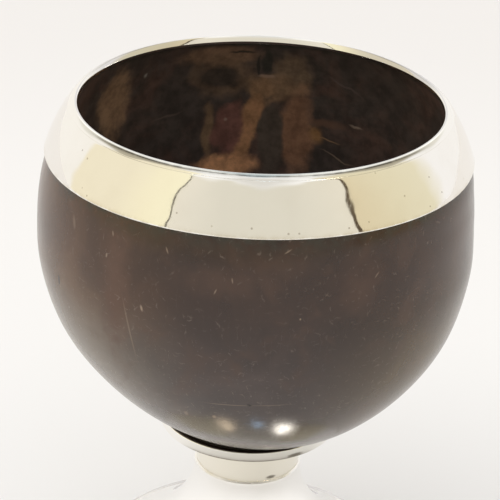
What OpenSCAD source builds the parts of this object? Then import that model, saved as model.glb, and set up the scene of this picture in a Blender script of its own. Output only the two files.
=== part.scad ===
// Coconut cup with plain silver mounts. The nut is cut open and polished, a band and a capping lip
// protect its mouth, and a stud draws it down on to a saucer, a neck and a hollow trumpet foot.
// Sizes are in millimetres. +Z is up, and the origin is the centre of the face the foot stands on.

/* [Nut] */
// Outer radius of the nut at its belly
belly_r = 48; // [44:0.5:54]
// Height above the belly at which the shoulder curve would close
shoulder_h = 44; // [42:0.2:50]
// Depth of the nut below its belly
base_h = 48.9; // [44:0.1:56]
// Fullness of the shoulder curve, where 2 is an ellipse and more is squarer
shoulder_fullness = 2.6; // [2.3:0.05:3]
// Fullness of the base curve, where 2 is an ellipse and less is more pointed
base_fullness = 1.86; // [1.76:0.01:2.1]
// Wall of the nut from its belly to its base
nut_wall = 3.2; // [2.6:0.1:4.5]
// Height of the cut mouth above the belly
mouth_h = 30.1; // [26:0.1:32]
// Wall left at the cut mouth, where the inside is thinned
mouth_wall = 1; // [0.8:0.1:1.8]

/* [Rim mount] */
// Height of the band from its lower edge to the cut mouth
band_h = 10.1; // [6:0.1:14]
// Thickness of the band's sheet
band_sheet = 0.5; // [0.4:0.05:0.9]
// Thickness of the pitch between the band and the nut
band_bed_t = 0.25; // [0.15:0.05:0.5]
// Height of the strip at the lower edge that is burnished down on to the nut
burnish_h = 0.7; // [0.4:0.1:1.2]
// Height of the lip above the cut mouth
lip_h = 0.8; // [0.7:0.1:1.6]
// Radius of the lip's two rounded edges
lip_round = 0.5; // [0.3:0.05:0.65]
// How far the lip stands out beyond the band's top edge
lip_proud = 0.15; // [0.05:0.05:0.5]
// Number of flush pins round the band
pin_count = 9; // [4:1:12]
// Radius of a pin
pin_r = 0.4; // [0.3:0.05:0.7]
// Depth of a pin below the surface of the nut
pin_depth = 1.6; // [1:0.1:2]
// Height of the pins above the band's lower edge
pin_rise = 1.7; // [1.4:0.1:4]
// Angle of the first pin about the axis
pin_start = -101; // [-180:1:180]

/* [Saucer] */
// Width of the flange beyond the nut's seat
flange_w = 1.9; // [1.4:0.1:6]
// Thickness of the flange at its rounded edge
flange_t = 1.9; // [1.4:0.1:2.4]
// Depth to which the nut sits below the top of the flange
seat_depth = 4.1; // [3.6:0.1:4.4]
// Thickness of the pitch between the saucer and the nut
seat_bed_t = 0.5; // [0.3:0.05:0.8]
// Thickness of the saucer's sheet
saucer_sheet = 1; // [0.8:0.1:1.5]
// Radius of the flat pad under the saucer that takes the washer
pad_r = 6; // [5.5:0.1:7]

/* [Neck] */
// Outer radius of the neck
neck_r = 11.9; // [11:0.1:13]
// Height of the neck between the foot and the underside of the flange
neck_h = 10.5; // [10:0.1:16]
// Wall of the neck
neck_wall = 1.4; // [1.1:0.1:2]
// Length of the spigot that enters the foot
spigot_len = 3; // [2:0.5:5]
// Play between the spigot and the foot
spigot_play = 0.05; // [0.02:0.01:0.1]

/* [Foot] */
// Outer radius of the foot at its rim
foot_r = 35.5; // [30:0.5:42]
// Height of the foot up to the neck
foot_h = 29.4; // [22:0.2:40]
// How far the top of the foot stands out beyond the neck
foot_step = 0.45; // [0.3:0.05:0.8]
// Thickness of the foot's sheet
foot_sheet = 0.9; // [0.7:0.1:1.4]
// Power of the flare, where 1 is a cone and more is a longer neck
flare = 2.2; // [1.6:0.05:2.8]
// Height of the moulding round the foot
rim_t = 2.4; // [2:0.1:3.2]
// Width of the moulding
rim_w = 4; // [3.4:0.1:6]
// Width of the step between the moulding's edge and the foot's sheet
rim_step = 1.5; // [1.2:0.1:2.4]

/* [Fixing] */
// Radius of the stud
stud_r = 2; // [1.5:0.1:2.6]
// Play round the stud where it passes through the nut, the saucer, the seal and the washer
stud_play = 0.2; // [0.1:0.05:0.4]
// Play of the stud in the boss and in its nut
thread_play = 0.05; // [0.02:0.01:0.1]
// Length of stud below its nut
stud_tail = 1.5; // [0.5:0.5:3]
// Radius of the boss inside the bowl
boss_r = 7.5; // [6:0.5:10]
// Height of the boss at its edge
boss_edge = 0.8; // [0.5:0.1:1.5]
// Height of the dome on the boss
boss_dome = 2.4; // [2:0.1:3.5]
// Depth of the stud's hole in the boss
boss_bore = 2; // [1.5:0.1:2.2]
// Radius of the leather seal under the boss
seal_r = 6.8; // [5.5:0.1:9]
// Thickness of the seal at its middle
seal_t = 1.6; // [1.4:0.1:2.5]
// Radius of the washer
washer_r = 5; // [4.5:0.1:5.4]
// Thickness of the washer
washer_t = 1; // [0.6:0.1:1.5]
// Width of the square nut across its flats
nut_flats = 7; // [6:0.5:8]
// Thickness of the square nut
nut_t = 3; // [2:0.5:4]

/* [Hidden] */
$fn = 96;
// steps in each stretch of a curve
curve_steps = 6;
// heights from the foot up to the lip
flange_z = foot_h + neck_h;
flange_top = flange_z + flange_t;
base_low = flange_top - seat_depth;
belly_z = base_low + base_h;
mouth_z = belly_z + mouth_h;
band_z = mouth_z - band_h;
burnish_z = band_z + burnish_h;
pin_z = band_z + pin_rise;
// surfaces nested round the nut's outside, each as a growth of its outline
band_in = band_bed_t;
band_out = band_in + band_sheet;
saucer_in = seat_bed_t;
saucer_out = saucer_in + saucer_sheet;
// the bowl's inside, thinned so that it reaches the mouth at the lip
bowl_r = belly_r - nut_wall;
mouth_r = nut_radius(mouth_z) - mouth_wall;
bowl_h = mouth_h / power_arc(mouth_r / bowl_r, shoulder_fullness);
bowl_low = base_low + nut_wall;
// the lip covers the nut's edge, the pitch and the band's edge
lip_w = nut_radius(mouth_z, band_out) + lip_proud - mouth_r;
// the pins stand square to the nut
pin_tilt = atan(shoulder_slope(pin_z));
pin_reach = 3 * band_out;
// radii at which the nut's base meets the saucer
hole_r = stud_r + stud_play;
saucer_r = nut_radius(flange_top, saucer_in);
flange_r = saucer_r + flange_w;
bed_r = nut_radius(flange_top);
under_r = nut_radius(flange_z, saucer_out);
// neck and foot
neck_bore_r = neck_r - neck_wall;
foot_top_r = neck_r + foot_step;
spigot_r = foot_top_r - foot_sheet - spigot_play;
sheet_r = foot_r - rim_step;
sheet_drop = foot_h - rim_t;
// stack on the stud
seal_top = bowl_low + seal_t;
boss_ball_r = (boss_r * boss_r + boss_dome * boss_dome) / (2 * boss_dome);
pad_z = base_low - saucer_out;
nut_z = pad_z - washer_t - nut_t;
stud_low = nut_z - stud_tail;

// second coordinate of a unit curve of a given fullness, from the first
function power_arc(x, fullness) = pow(max(0, 1 - pow(x, fullness)), 1 / fullness);

// radius of the nut's outside at a height, with its outline grown outward
function nut_radius(z, grow = 0) = (belly_r + grow) * (z > belly_z
    ? power_arc((z - belly_z) / (shoulder_h + grow), shoulder_fullness)
    : power_arc((belly_z - z) / (base_h + grow), base_fullness));

// height of the nut's base at a radius, with its outline grown outward
function base_height(r, grow = 0) =
    belly_z - (base_h + grow) * power_arc(r / (belly_r + grow), base_fullness);

// how fast the shoulder draws in as it rises
function shoulder_slope(z) = let (up = (z - belly_z) / shoulder_h)
    belly_r / shoulder_h * pow(up, shoulder_fullness - 1)
    * pow(1 - pow(up, shoulder_fullness), 1 / shoulder_fullness - 1);

// angle along the base curve at which it has a radius
function base_angle(r, grow) = acos(min(1, pow(r / (belly_r + grow), base_fullness / 2)));

// points along the base curve between two radii, without the last one
function base_points(r_from, r_to, grow, steps = curve_steps) =
    let (a_from = base_angle(r_from, grow), a_to = base_angle(r_to, grow))
    [for (i = [0 : steps - 1]) let (a = a_from + (a_to - a_from) * i / steps)
        [(belly_r + grow) * pow(cos(a), 2 / base_fullness),
         belly_z - (base_h + grow) * pow(sin(a), 2 / base_fullness)]];

// points along the shoulder between two heights, without the last one
function shoulder_points(z_from, z_to, grow, steps = curve_steps) =
    [for (i = [0 : steps - 1]) let (z = z_from + (z_to - z_from) * i / steps) [nut_radius(z, grow), z]];

// radius of the bowl's inside above its belly
function bowl_radius(z) = bowl_r * power_arc((z - belly_z) / bowl_h, shoulder_fullness);

// point on the foot's flare, moved square to it into the hollow
function flare_point(along, inset) =
    let (spread = sheet_r - foot_top_r, run = spread * flare * pow(along, flare - 1),
         length = sqrt(run * run + sheet_drop * sheet_drop))
    [foot_top_r + spread * pow(along, flare) - inset * sheet_drop / length,
     foot_h - sheet_drop * along - inset * run / length];

// turns an outline, given as radius and height, about the axis
module turned(points) {
    rotate_extrude() polygon(points);
}

// half of a disc, on the outer side
module half_disc(r) {
    intersection() {
        circle(r = r);
        translate([0, -r])
            square([r, 2 * r]);
    }
}

// quarter of a disc, turned from the one between the two axes
module quarter_disc(r, turn) {
    rotate(turn)
        intersection() {
            circle(r = r);
            square(r);
        }
}

// rods of the pins, square to the nut and long enough to stand out of the band
module pin_rods() {
    for (i = [0 : pin_count - 1])
        rotate([0, 0, pin_start + i * 360 / pin_count])
            translate([nut_radius(pin_z), 0, pin_z])
                rotate([0, 90 - pin_tilt, 0])
                    translate([0, 0, -pin_depth])
                        cylinder(r = pin_r, h = pin_depth + pin_reach);
}

// the polished nut, drilled for the stud and for the pins
module nut_shell() {
    color("saddlebrown")
        difference() {
            turned(concat(
                base_points(hole_r, bed_r, 0),
                base_points(bed_r, belly_r, 0, 2 * curve_steps),
                shoulder_points(belly_z, band_z, 0),
                shoulder_points(band_z, burnish_z, 0, 1),
                shoulder_points(burnish_z, mouth_z, 0),
                [[nut_radius(mouth_z), mouth_z]],
                [for (i = [0 : 2 * curve_steps - 1]) let (z = mouth_z - mouth_h * i / (2 * curve_steps))
                    [bowl_radius(z), z]],
                base_points(bowl_r, hole_r, -nut_wall, 3 * curve_steps),
                [[hole_r, base_height(hole_r, -nut_wall)]]));
            pin_rods();
        }
}

// the pitch that beds the band on the nut
module band_bed() {
    color("black")
        difference() {
            turned(concat(
                shoulder_points(burnish_z, mouth_z, 0),
                [[nut_radius(mouth_z), mouth_z]],
                shoulder_points(mouth_z, burnish_z, band_in),
                [[nut_radius(burnish_z, band_in), burnish_z]]));
            pin_rods();
        }
}

// the band, raised to the nut's shoulder, with its lower edge burnished down
module rim_band() {
    color("silver")
        difference() {
            turned(concat(
                shoulder_points(band_z, mouth_z, band_out),
                [[nut_radius(mouth_z, band_out), mouth_z]],
                shoulder_points(mouth_z, burnish_z, band_in),
                [[nut_radius(burnish_z, band_in), burnish_z]],
                [[nut_radius(burnish_z), burnish_z]],
                [[nut_radius(band_z), band_z]]));
            pin_rods();
        }
}

// the lip, flat on top with two rounded edges, that caps the cut edge of the nut
module rim_lip() {
    color("gainsboro")
        translate([0, 0, mouth_z])
            rotate_extrude()
                translate([mouth_r, 0]) {
                    square([lip_w, lip_h - lip_round]);
                    translate([lip_round, 0])
                        square([lip_w - 2 * lip_round, lip_h]);
                    translate([lip_round, lip_h - lip_round])
                        quarter_disc(lip_round, 90);
                    translate([lip_w - lip_round, lip_h - lip_round])
                        quarter_disc(lip_round, 0);
                }
}

// the pins, filed flush with the band
module band_pins() {
    color("dimgray")
        intersection() {
            pin_rods();
            turned(concat(
                [[0, band_z]],
                shoulder_points(band_z, mouth_z, band_out),
                [[nut_radius(mouth_z, band_out), mouth_z], [0, mouth_z]]));
        }
}

// the pitch that beds the nut in the saucer
module seat_bed() {
    color("black")
        turned(concat(
            base_points(bed_r, hole_r, 0),
            [[hole_r, base_height(hole_r)]],
            base_points(hole_r, saucer_r, saucer_in),
            [[saucer_r, flange_top]]));
}

// the saucer, which follows the base of the nut and spreads to a round-edged flange
module seat_dish() {
    color("silver")
        union() {
            turned(concat(
                [[hole_r, pad_z]],
                base_points(hole_r, saucer_r, saucer_in),
                [[saucer_r, flange_top]],
                [[flange_r - flange_t / 2, flange_top]],
                [[flange_r - flange_t / 2, flange_z]],
                base_points(under_r, neck_r, saucer_out),
                base_points(neck_r, neck_bore_r, saucer_out, 1),
                base_points(neck_bore_r, pad_r, saucer_out),
                [[pad_r, base_height(pad_r, saucer_out)]],
                [[pad_r, pad_z]]));
            translate([0, 0, flange_z + flange_t / 2])
                rotate_extrude()
                    translate([flange_r - flange_t / 2, 0])
                        half_disc(flange_t / 2);
        }
}

// the neck, mitred to the underside of the saucer, with a spigot for the foot
module neck_drum() {
    color("gainsboro")
        turned([
            [neck_r, foot_h],
            [neck_r, base_height(neck_r, saucer_out)],
            [neck_bore_r, base_height(neck_bore_r, saucer_out)],
            [neck_bore_r, foot_h - spigot_len],
            [spigot_r, foot_h - spigot_len],
            [spigot_r, foot_h]]);
}

// the hollow trumpet foot, cut level where it stands on its moulding
module trumpet_foot() {
    color("silver")
        rotate_extrude()
            intersection() {
                polygon(concat(
                    [for (i = [0 : 2 * curve_steps + 1]) flare_point(i / (2 * curve_steps), 0)],
                    [for (i = [2 * curve_steps + 1 : -1 : 0]) flare_point(i / (2 * curve_steps), foot_sheet)]));
                translate([0, rim_t])
                    square([foot_r, foot_h]);
            }
}

// the half-round moulding that the cup stands on
module foot_rim() {
    color("gainsboro")
        rotate_extrude() {
            translate([foot_r - rim_w, 0])
                square([rim_w - rim_t / 2, rim_t]);
            translate([foot_r - rim_t / 2, rim_t / 2])
                half_disc(rim_t / 2);
        }
}

// the domed boss inside the bowl, with a blind hole for the stud
module bowl_boss() {
    color("silver")
        translate([0, 0, seal_top])
            difference() {
                union() {
                    cylinder(r = boss_r, h = boss_edge);
                    translate([0, 0, boss_edge])
                        intersection() {
                            cylinder(r = boss_r, h = boss_dome);
                            translate([0, 0, boss_dome - boss_ball_r])
                                sphere(r = boss_ball_r);
                        }
                }
                translate([0, 0, -boss_bore])
                    cylinder(r = stud_r + thread_play, h = 2 * boss_bore);
            }
}

// the leather seal, moulded below to the inside of the nut
module leather_seal() {
    color("sienna")
        turned(concat(
            base_points(hole_r, seal_r, -nut_wall),
            [[seal_r, base_height(seal_r, -nut_wall)], [seal_r, seal_top], [hole_r, seal_top]]));
}

// the stud from the boss down through the nut and the saucer
module fixing_stud() {
    color("goldenrod")
        translate([0, 0, stud_low])
            cylinder(r = stud_r, h = seal_top + boss_bore - stud_low);
}

// the washer under the saucer
module stud_washer() {
    color("gold")
        translate([0, 0, pad_z - washer_t])
            difference() {
                cylinder(r = washer_r, h = washer_t);
                translate([0, 0, -washer_t])
                    cylinder(r = hole_r, h = 3 * washer_t);
            }
}

// the square nut that draws the stud down
module stud_nut() {
    color("darkgoldenrod")
        translate([0, 0, nut_z])
            difference() {
                translate([-nut_flats / 2, -nut_flats / 2, 0])
                    cube([nut_flats, nut_flats, nut_t]);
                translate([0, 0, -nut_t])
                    cylinder(r = stud_r + thread_play, h = 3 * nut_t);
            }
}

nut_shell();
band_bed();
rim_band();
rim_lip();
band_pins();
seat_bed();
seat_dish();
neck_drum();
trumpet_foot();
foot_rim();
bowl_boss();
leather_seal();
fixing_stud();
stud_washer();
stud_nut();
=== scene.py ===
"""Looks of a coconut cup with plain silver mounts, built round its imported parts.

Sizes in the classes are millimetres, and become metres in the meshes. +Z is up and the front of
the cup faces -Y. Angles round the cup are degrees, start at the front and grow towards +X.
"""

import logging
import math
from dataclasses import dataclass
from enum import Enum
from functools import cache
from typing import Any

import bpy
import numpy as np
from mathutils import Matrix, Vector


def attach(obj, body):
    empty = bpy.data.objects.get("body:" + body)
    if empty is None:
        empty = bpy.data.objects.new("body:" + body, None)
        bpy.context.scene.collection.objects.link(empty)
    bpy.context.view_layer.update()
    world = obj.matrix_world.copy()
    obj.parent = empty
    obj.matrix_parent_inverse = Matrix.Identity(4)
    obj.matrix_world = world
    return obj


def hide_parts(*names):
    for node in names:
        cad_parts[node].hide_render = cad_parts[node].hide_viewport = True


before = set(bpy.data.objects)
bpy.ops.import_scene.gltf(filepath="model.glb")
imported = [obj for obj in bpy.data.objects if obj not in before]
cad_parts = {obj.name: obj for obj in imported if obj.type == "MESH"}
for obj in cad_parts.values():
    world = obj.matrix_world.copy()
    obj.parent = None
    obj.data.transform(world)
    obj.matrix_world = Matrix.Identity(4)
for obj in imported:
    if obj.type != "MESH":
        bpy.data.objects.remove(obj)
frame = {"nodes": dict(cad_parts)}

log = logging.getLogger("coconut_cup")

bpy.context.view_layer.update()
BODY = "root"
MM = 0.001
PER_METRE = 1000.0
FULL_TURN = 360.0
SKIN = "skin"
SHARP_TURN = math.radians(38)
SAME_POINT = 1e-4

Colour = tuple[float, float, float]
Place = tuple[float, float, float]
Point = tuple[float, float]
Span = tuple[float, float]
Socket = bpy.types.NodeSocket
Surface = tuple[dict[str, Any], Socket | None]

# Middle of a noise, and the span that holds most of it
MIDDLE = 0.5
MOST: Span = (0.3, 0.7)


class Slot(str, Enum):
    """Material slots named for the new pieces."""

    COCONUT = "coconut"
    SILVER = "silver"
    PIN_SILVER = "pin_silver"
    BRASS = "brass"


class Face(int, Enum):
    """Which finish a face of the nut takes."""

    OUTSIDE = 0
    INSIDE = 1


class Axis(str, Enum):
    """Axis that a pattern is turned about."""

    Y = "Y_AXIS"
    Z = "Z_AXIS"


class Blend(str, Enum):
    """How one colour goes over another."""

    OVER = "MIX"
    TINT = "MULTIPLY"


# Meshes


@dataclass(frozen=True)
class Wave:
    """One sine round and up a piece: size times sin(count a + rate z + phase)."""

    size: float
    count: float
    rate: float
    phase: float


def sum_waves(waves: tuple[Wave, ...], a: np.ndarray, z: np.ndarray | float) -> np.ndarray:
    """Adds up waves at angles a, in radians, and heights z."""
    return sum(wave.size * np.sin(wave.count * a + wave.rate * z + wave.phase) for wave in waves)


def sunk_waves(waves: tuple[Wave, ...], a: np.ndarray, z: np.ndarray | float) -> np.ndarray:
    """Sum of waves as a share of their sizes, less 1, so that it only goes inward."""
    return sum_waves(waves, a, z) / sum(wave.size for wave in waves) - 1.0


def smoothstep(low: float, high: float, value: np.ndarray | float) -> np.ndarray:
    """Runs from 0 at low to 1 at high along 3t^2 - 2t^3, where t is the share of the way."""
    t = np.clip((value - low) / (high - low), 0.0, 1.0)
    return t * t * (3.0 - 2.0 * t)


def lines(stops: list[Point], counts: list[int]) -> np.ndarray:
    """Straight stretches of an outline from stop to stop, each of a number of evenly spaced points."""
    return np.concatenate([np.linspace(a, b, count) for a, b, count in zip(stops, stops[1:], counts)])


def arc(centre: Point, radius: float, turn: Span, count: int, squash: float = 1.0) -> np.ndarray:
    """Round stretch of an outline: centre plus radius times (cos t, squash sin t), t in degrees."""
    t = np.radians(np.linspace(*turn, count))
    return np.stack([centre[0] + radius * np.cos(t), centre[1] + squash * radius * np.sin(t)], -1)


def outline(*stretches: np.ndarray) -> np.ndarray:
    """Joins stretches of an outline, leaving out points that fall on the one before.

    Args:
        stretches: Rows of radius and height, in order.

    Returns:
        One array of points, for a closed outline also without a first point equal to the last.
    """
    points = np.concatenate(stretches)
    step = np.linalg.norm(points - np.roll(points, 1, 0), axis=1)
    return points[step > SAME_POINT]


def columns(rows: np.ndarray) -> tuple[np.ndarray, np.ndarray]:
    """Radii and heights of an outline, each as a column."""
    return rows[:, :1], rows[:, 1:]


def ring_angles(turns: int) -> np.ndarray:
    """Angles of the columns of a turned grid, in radians, starting at the back."""
    return np.linspace(-math.pi, math.pi, turns, endpoint=False)


def turned_grid(r: np.ndarray, z: np.ndarray, turns: int) -> np.ndarray:
    """Carries radii and heights, in rows, round the axis: (r sin a, -r cos a, z) for each angle a."""
    a = ring_angles(turns)
    return np.stack([r * np.sin(a), -r * np.cos(a), z + 0.0 * a], -1)


def add(name: str, data: bpy.types.ID) -> bpy.types.Object:
    """Puts a new object in the scene.

    Args:
        name: Name of the object.
        data: Its mesh or camera.

    Returns:
        The object, at the origin.
    """
    made = bpy.data.objects.new(name, data)
    bpy.context.scene.collection.objects.link(made)
    return made


def ring_mesh(name: str, grids: np.ndarray, closed: bool = True) -> bpy.types.Object:
    """Makes one mesh of grids whose columns close round.

    A closed grid also joins its last row to its first. An open one ends in a fan at each end,
    round the middle of its end row. The map named skin runs round each grid in u and along it in v.

    Args:
        name: Name of the object.
        grids: Points, copies by rows by turns by 3, or one grid without the first of these.
        closed: Whether the rows close into a loop.

    Returns:
        The object, at the origin, with smooth faces and sharp creases kept.
    """
    grids = grids[None] if grids.ndim == 3 else grids
    copies, rows, turns, _ = grids.shape
    index = np.arange(copies * rows * turns).reshape(copies, rows, turns)
    run = np.linalg.norm(np.diff(grids, axis=1, append=grids[:, :1]), axis=-1).mean((0, 2))
    along = np.concatenate([[0.0], np.cumsum(run if closed else run[:-1])])
    along /= along[-1]
    low = index if closed else index[:, :-1]
    high = np.roll(index, -1, 1) if closed else index[:, 1:]
    quads = np.stack([low, np.roll(low, -1, 2), np.roll(high, -1, 2), high], -1)
    u = np.arange(turns) / turns
    v0 = np.broadcast_to(along[: low.shape[1], None], low.shape[1:])
    v1 = np.broadcast_to(along[1 : low.shape[1] + 1, None], low.shape[1:])
    u0, u1 = np.broadcast_to(u, v0.shape), np.broadcast_to(u + 1.0 / turns, v0.shape)
    maps = np.stack([u0, v0, u1, v0, u1, v1, u0, v1], -1).reshape(1, -1, 8).repeat(copies, 0)
    points, faces, skin = [grids.reshape(-1, 3)], quads.reshape(-1, 4).tolist(), [maps.ravel()]
    if not closed:
        first = copies * rows * turns + np.arange(copies)[:, None] + 0 * index[:, 0]
        points += [grids[:, 0].mean(1), grids[:, -1].mean(1)]
        bottom = np.stack([first, np.roll(index[:, 0], -1, 1), index[:, 0]], -1)
        top = np.stack([first + copies, index[:, -1], np.roll(index[:, -1], -1, 1)], -1)
        faces += bottom.reshape(-1, 3).tolist() + top.reshape(-1, 3).tolist()
        flat = np.zeros(turns)
        lower = np.stack([u, flat, u + 1.0 / turns, flat, u, flat], -1)
        upper = np.stack([u, flat + 1, u, flat + 1, u + 1.0 / turns, flat + 1], -1)
        skin += [np.tile(lower.ravel(), copies), np.tile(upper.ravel(), copies)]
    mesh = bpy.data.meshes.new(name)
    mesh.from_pydata((np.concatenate(points) * MM).tolist(), [], faces)
    layer = mesh.uv_layers.new(name=SKIN)
    layer.data.foreach_set("uv", np.concatenate(skin).astype(np.float32))
    mesh.shade_smooth()
    mesh.set_sharp_from_angle(angle=SHARP_TURN)
    mesh.validate()
    return add(name, mesh)


def seat(piece: bpy.types.Object, slot: Slot, *nodes: str) -> None:
    """Puts a piece on the cup in place of CAD nodes and reports it.

    Args:
        piece: The new object.
        slot: Material slot that it takes its finish from; not used.
        nodes: CAD nodes that it stands for.
    """
    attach(piece, BODY)
    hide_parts(*nodes)
    log.info("%s stands for %s with %d points", piece.name, ", ".join(nodes), len(piece.data.vertices))


def dress(piece: bpy.types.Object, *materials: bpy.types.Material) -> None:
    """Gives an object materials in place of those it had.

    Args:
        piece: The object.
        materials: Its materials, in order.
    """
    piece.data.materials.clear()
    for material in materials:
        piece.data.materials.append(material)


# Node trees and shared effects


@dataclass(frozen=True)
class Grain:
    """Settings of a Noise Texture."""

    scale: float | Socket
    detail: float = 2.0
    rough: float = 0.5
    warp: float = 0.0


class Tree:
    """Short way to place and link the nodes of one node tree."""

    def __init__(self, tree: bpy.types.NodeTree) -> None:
        """Takes an empty node tree."""
        self.tree = tree

    def node(self, kind: str, inputs: dict[Any, Any] | None = None, **settings: Any) -> bpy.types.Node:
        """Adds a node.

        Args:
            kind: Type of the node without the leading word.
            inputs: Value or socket for each named or numbered input.
            settings: Properties of the node.

        Returns:
            The node.
        """
        made = self.tree.nodes.new("ShaderNode" + kind)
        for key, value in settings.items():
            setattr(made, key, value)
        for key, value in (inputs or {}).items():
            self.feed(made.inputs[key], value)
        return made

    def feed(self, socket: Socket, value: Any) -> None:
        """Links a socket to an input, or sets the input's own value.

        Args:
            socket: The input.
            value: A socket, or a number, a vector or a colour.
        """
        if isinstance(value, bpy.types.NodeSocket):
            self.tree.links.new(value, socket)
        elif socket.type == "RGBA":
            socket.default_value = (*value[:3], 1.0)
        else:
            socket.default_value = value

    def math(self, operation: str, *values: Any, clamp: bool = False) -> Socket:
        """Result of a Math node on one to three values."""
        made = self.node("Math", dict(enumerate(values)), operation=operation, use_clamp=clamp)
        return made.outputs[0]

    def plus(self, first: Any, second: Any) -> Socket:
        """Sum of two values."""
        return self.math("ADD", first, second)

    def minus(self, first: Any, second: Any) -> Socket:
        """First value less the second."""
        return self.math("SUBTRACT", first, second)

    def times(self, first: Any, second: Any) -> Socket:
        """Product of two values."""
        return self.math("MULTIPLY", first, second)

    def greater(self, first: Any, second: Any) -> Socket:
        """Greater of two values."""
        return self.math("MAXIMUM", first, second)

    def away(self, value: Any, centre: Any) -> Socket:
        """Distance of a value from a centre."""
        return self.math("ABSOLUTE", self.minus(value, centre))

    def vector(self, operation: str, *values: Any) -> Socket:
        """Result of a Vector Math node, a number for a length or a product and otherwise a vector."""
        made = self.node("VectorMath", dict(enumerate(values)), operation=operation)
        return made.outputs["Value" if operation in ("LENGTH", "DOT_PRODUCT") else "Vector"]

    def scaled(self, vector: Any, factor: float) -> Socket:
        """A vector times a number."""
        return self.node("VectorMath", {0: vector, "Scale": factor}, operation="SCALE").outputs["Vector"]

    def turned(self, vector: Any, angle: Any, axis: Axis) -> Socket:
        """A vector turned about an axis by an angle in radians."""
        inputs = {"Vector": vector, "Angle": angle}
        return self.node("VectorRotate", inputs, rotation_type=axis.value).outputs[0]

    def joined(self, x: Any, y: Any, z: Any) -> Socket:
        """Vector of three values."""
        return self.node("CombineXYZ", {0: x, 1: y, 2: z}).outputs[0]

    def axes(self, vector: Any) -> Any:
        """X, Y and Z of a vector."""
        return self.node("SeparateXYZ", {0: vector}).outputs

    def span(self, value: Any, source: tuple[Any, Any], result: Span = (0.0, 1.0)) -> Socket:
        """Maps a value smoothly from one span to another, and holds it outside."""
        keys, ends = ("Value", "From Min", "From Max", "To Min", "To Max"), (value, *source, *result)
        return self.node("MapRange", dict(zip(keys, ends)), interpolation_type="SMOOTHSTEP").outputs[0]

    def mix(self, factor: Any, first: Any, second: Any, blend: Blend = Blend.OVER) -> Socket:
        """First colour with a share of the second over it."""
        inputs = {0: factor, 6: first, 7: second}
        return self.node("Mix", inputs, data_type="RGBA", blend_type=blend.value).outputs[2]

    def ramp(self, factor: Any, stops: list[tuple[float, Colour]]) -> Socket:
        """Colour from a Color Ramp.

        Args:
            factor: Place on the ramp, from 0 to 1.
            stops: Place and colour of each stop, in order.

        Returns:
            The colour.
        """
        made = self.node("ValToRGB", {0: factor})
        elements = made.color_ramp.elements
        while len(elements) < len(stops):
            elements.new(1.0)
        for element, (position, colour) in zip(elements, stops):
            element.position = position
            element.color = (*colour, 1.0)
        return made.outputs["Color"]

    def grain(self, vector: Any, grain: Grain) -> Any:
        """Adds a Noise Texture.

        Args:
            vector: Where it is looked up.
            grain: Its settings.

        Returns:
            Its outputs, the value first and then the colour.
        """
        inputs = {"Vector": vector, "Scale": grain.scale, "Detail": grain.detail}
        inputs |= {"Roughness": grain.rough, "Distortion": grain.warp}
        return self.node("TexNoise", inputs).outputs

    def noise(self, vector: Any, grain: Grain) -> Socket:
        """Value of a Noise Texture at a vector."""
        return self.grain(vector, grain)[0]

    def ragged(self, vector: Any, grain: Grain, gain: float) -> Socket:
        """Noise about 0, by up to half a gain each way."""
        return self.times(self.minus(self.noise(vector, grain), MIDDLE), gain)

    def shifted(self, vector: Any, place: Socket, grain: Grain, reach: float) -> Socket:
        """A vector moved by the noise at a place, by up to half a reach each way along each axis."""
        shift = self.vector("SUBTRACT", self.grain(place, grain)["Color"], (MIDDLE, MIDDLE, MIDDLE))
        return self.vector("ADD", vector, self.scaled(shift, reach))

    def place(self) -> Socket:
        """Object coordinates in millimetres."""
        return self.scaled(self.node("TexCoord").outputs["Object"], PER_METRE)

    def skin(self, size: Place) -> Socket:
        """The piece's own map, stretched to its size in millimetres round it and along it."""
        return self.vector("MULTIPLY", self.node("UVMap", uv_map=SKIN).outputs["UV"], size)

    def mask(self, group: bpy.types.NodeTree, inputs: dict[str, Any]) -> Socket:
        """Mask of a shared effect, placed with its own values."""
        return self.node("Group", inputs, node_tree=group).outputs["Mask"]


def new_group(name: str, vectors: tuple[str, ...], numbers: tuple[str, ...]) -> tuple[Tree, Any, Socket]:
    """Starts a shader node group that puts out one mask.

    Args:
        name: Name of the group.
        vectors: Names of its vector inputs.
        numbers: Names of its number inputs.

    Returns:
        Its tree, the sockets that bring its inputs and the one that takes its mask.
    """
    group = bpy.data.node_groups.new(name, "ShaderNodeTree")
    for kind, keys in (("NodeSocketVector", vectors), ("NodeSocketFloat", numbers)):
        for key in keys:
            group.interface.new_socket(key, in_out="INPUT", socket_type=kind)
    group.interface.new_socket("Mask", in_out="OUTPUT", socket_type="NodeSocketFloat")
    entry = group.nodes.new("NodeGroupInput")
    leave = group.nodes.new("NodeGroupOutput")
    return Tree(group), entry.outputs, leave.inputs["Mask"]


@cache
def spot_effect() -> bpy.types.NodeTree:
    """Soft ragged spot at one place: 1 inside an ellipsoid and 0 outside it, turned about Y.

    Returns:
        The node group.
    """
    vectors, numbers = ("Place", "Centre", "Radii"), ("Turn", "Ragged", "Feather")
    tree, given, mask = new_group("ragged_spot", vectors, numbers)
    offset = tree.vector("SUBTRACT", given["Place"], given["Centre"])
    turned = tree.turned(offset, given["Turn"], Axis.Y)
    reach = tree.vector("LENGTH", tree.vector("DIVIDE", turned, given["Radii"]))
    edge = (tree.plus(1.0, given["Feather"]), tree.minus(1.0, given["Feather"]))
    tree.feed(mask, tree.span(tree.plus(reach, given["Ragged"]), edge))
    return tree.tree


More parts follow.
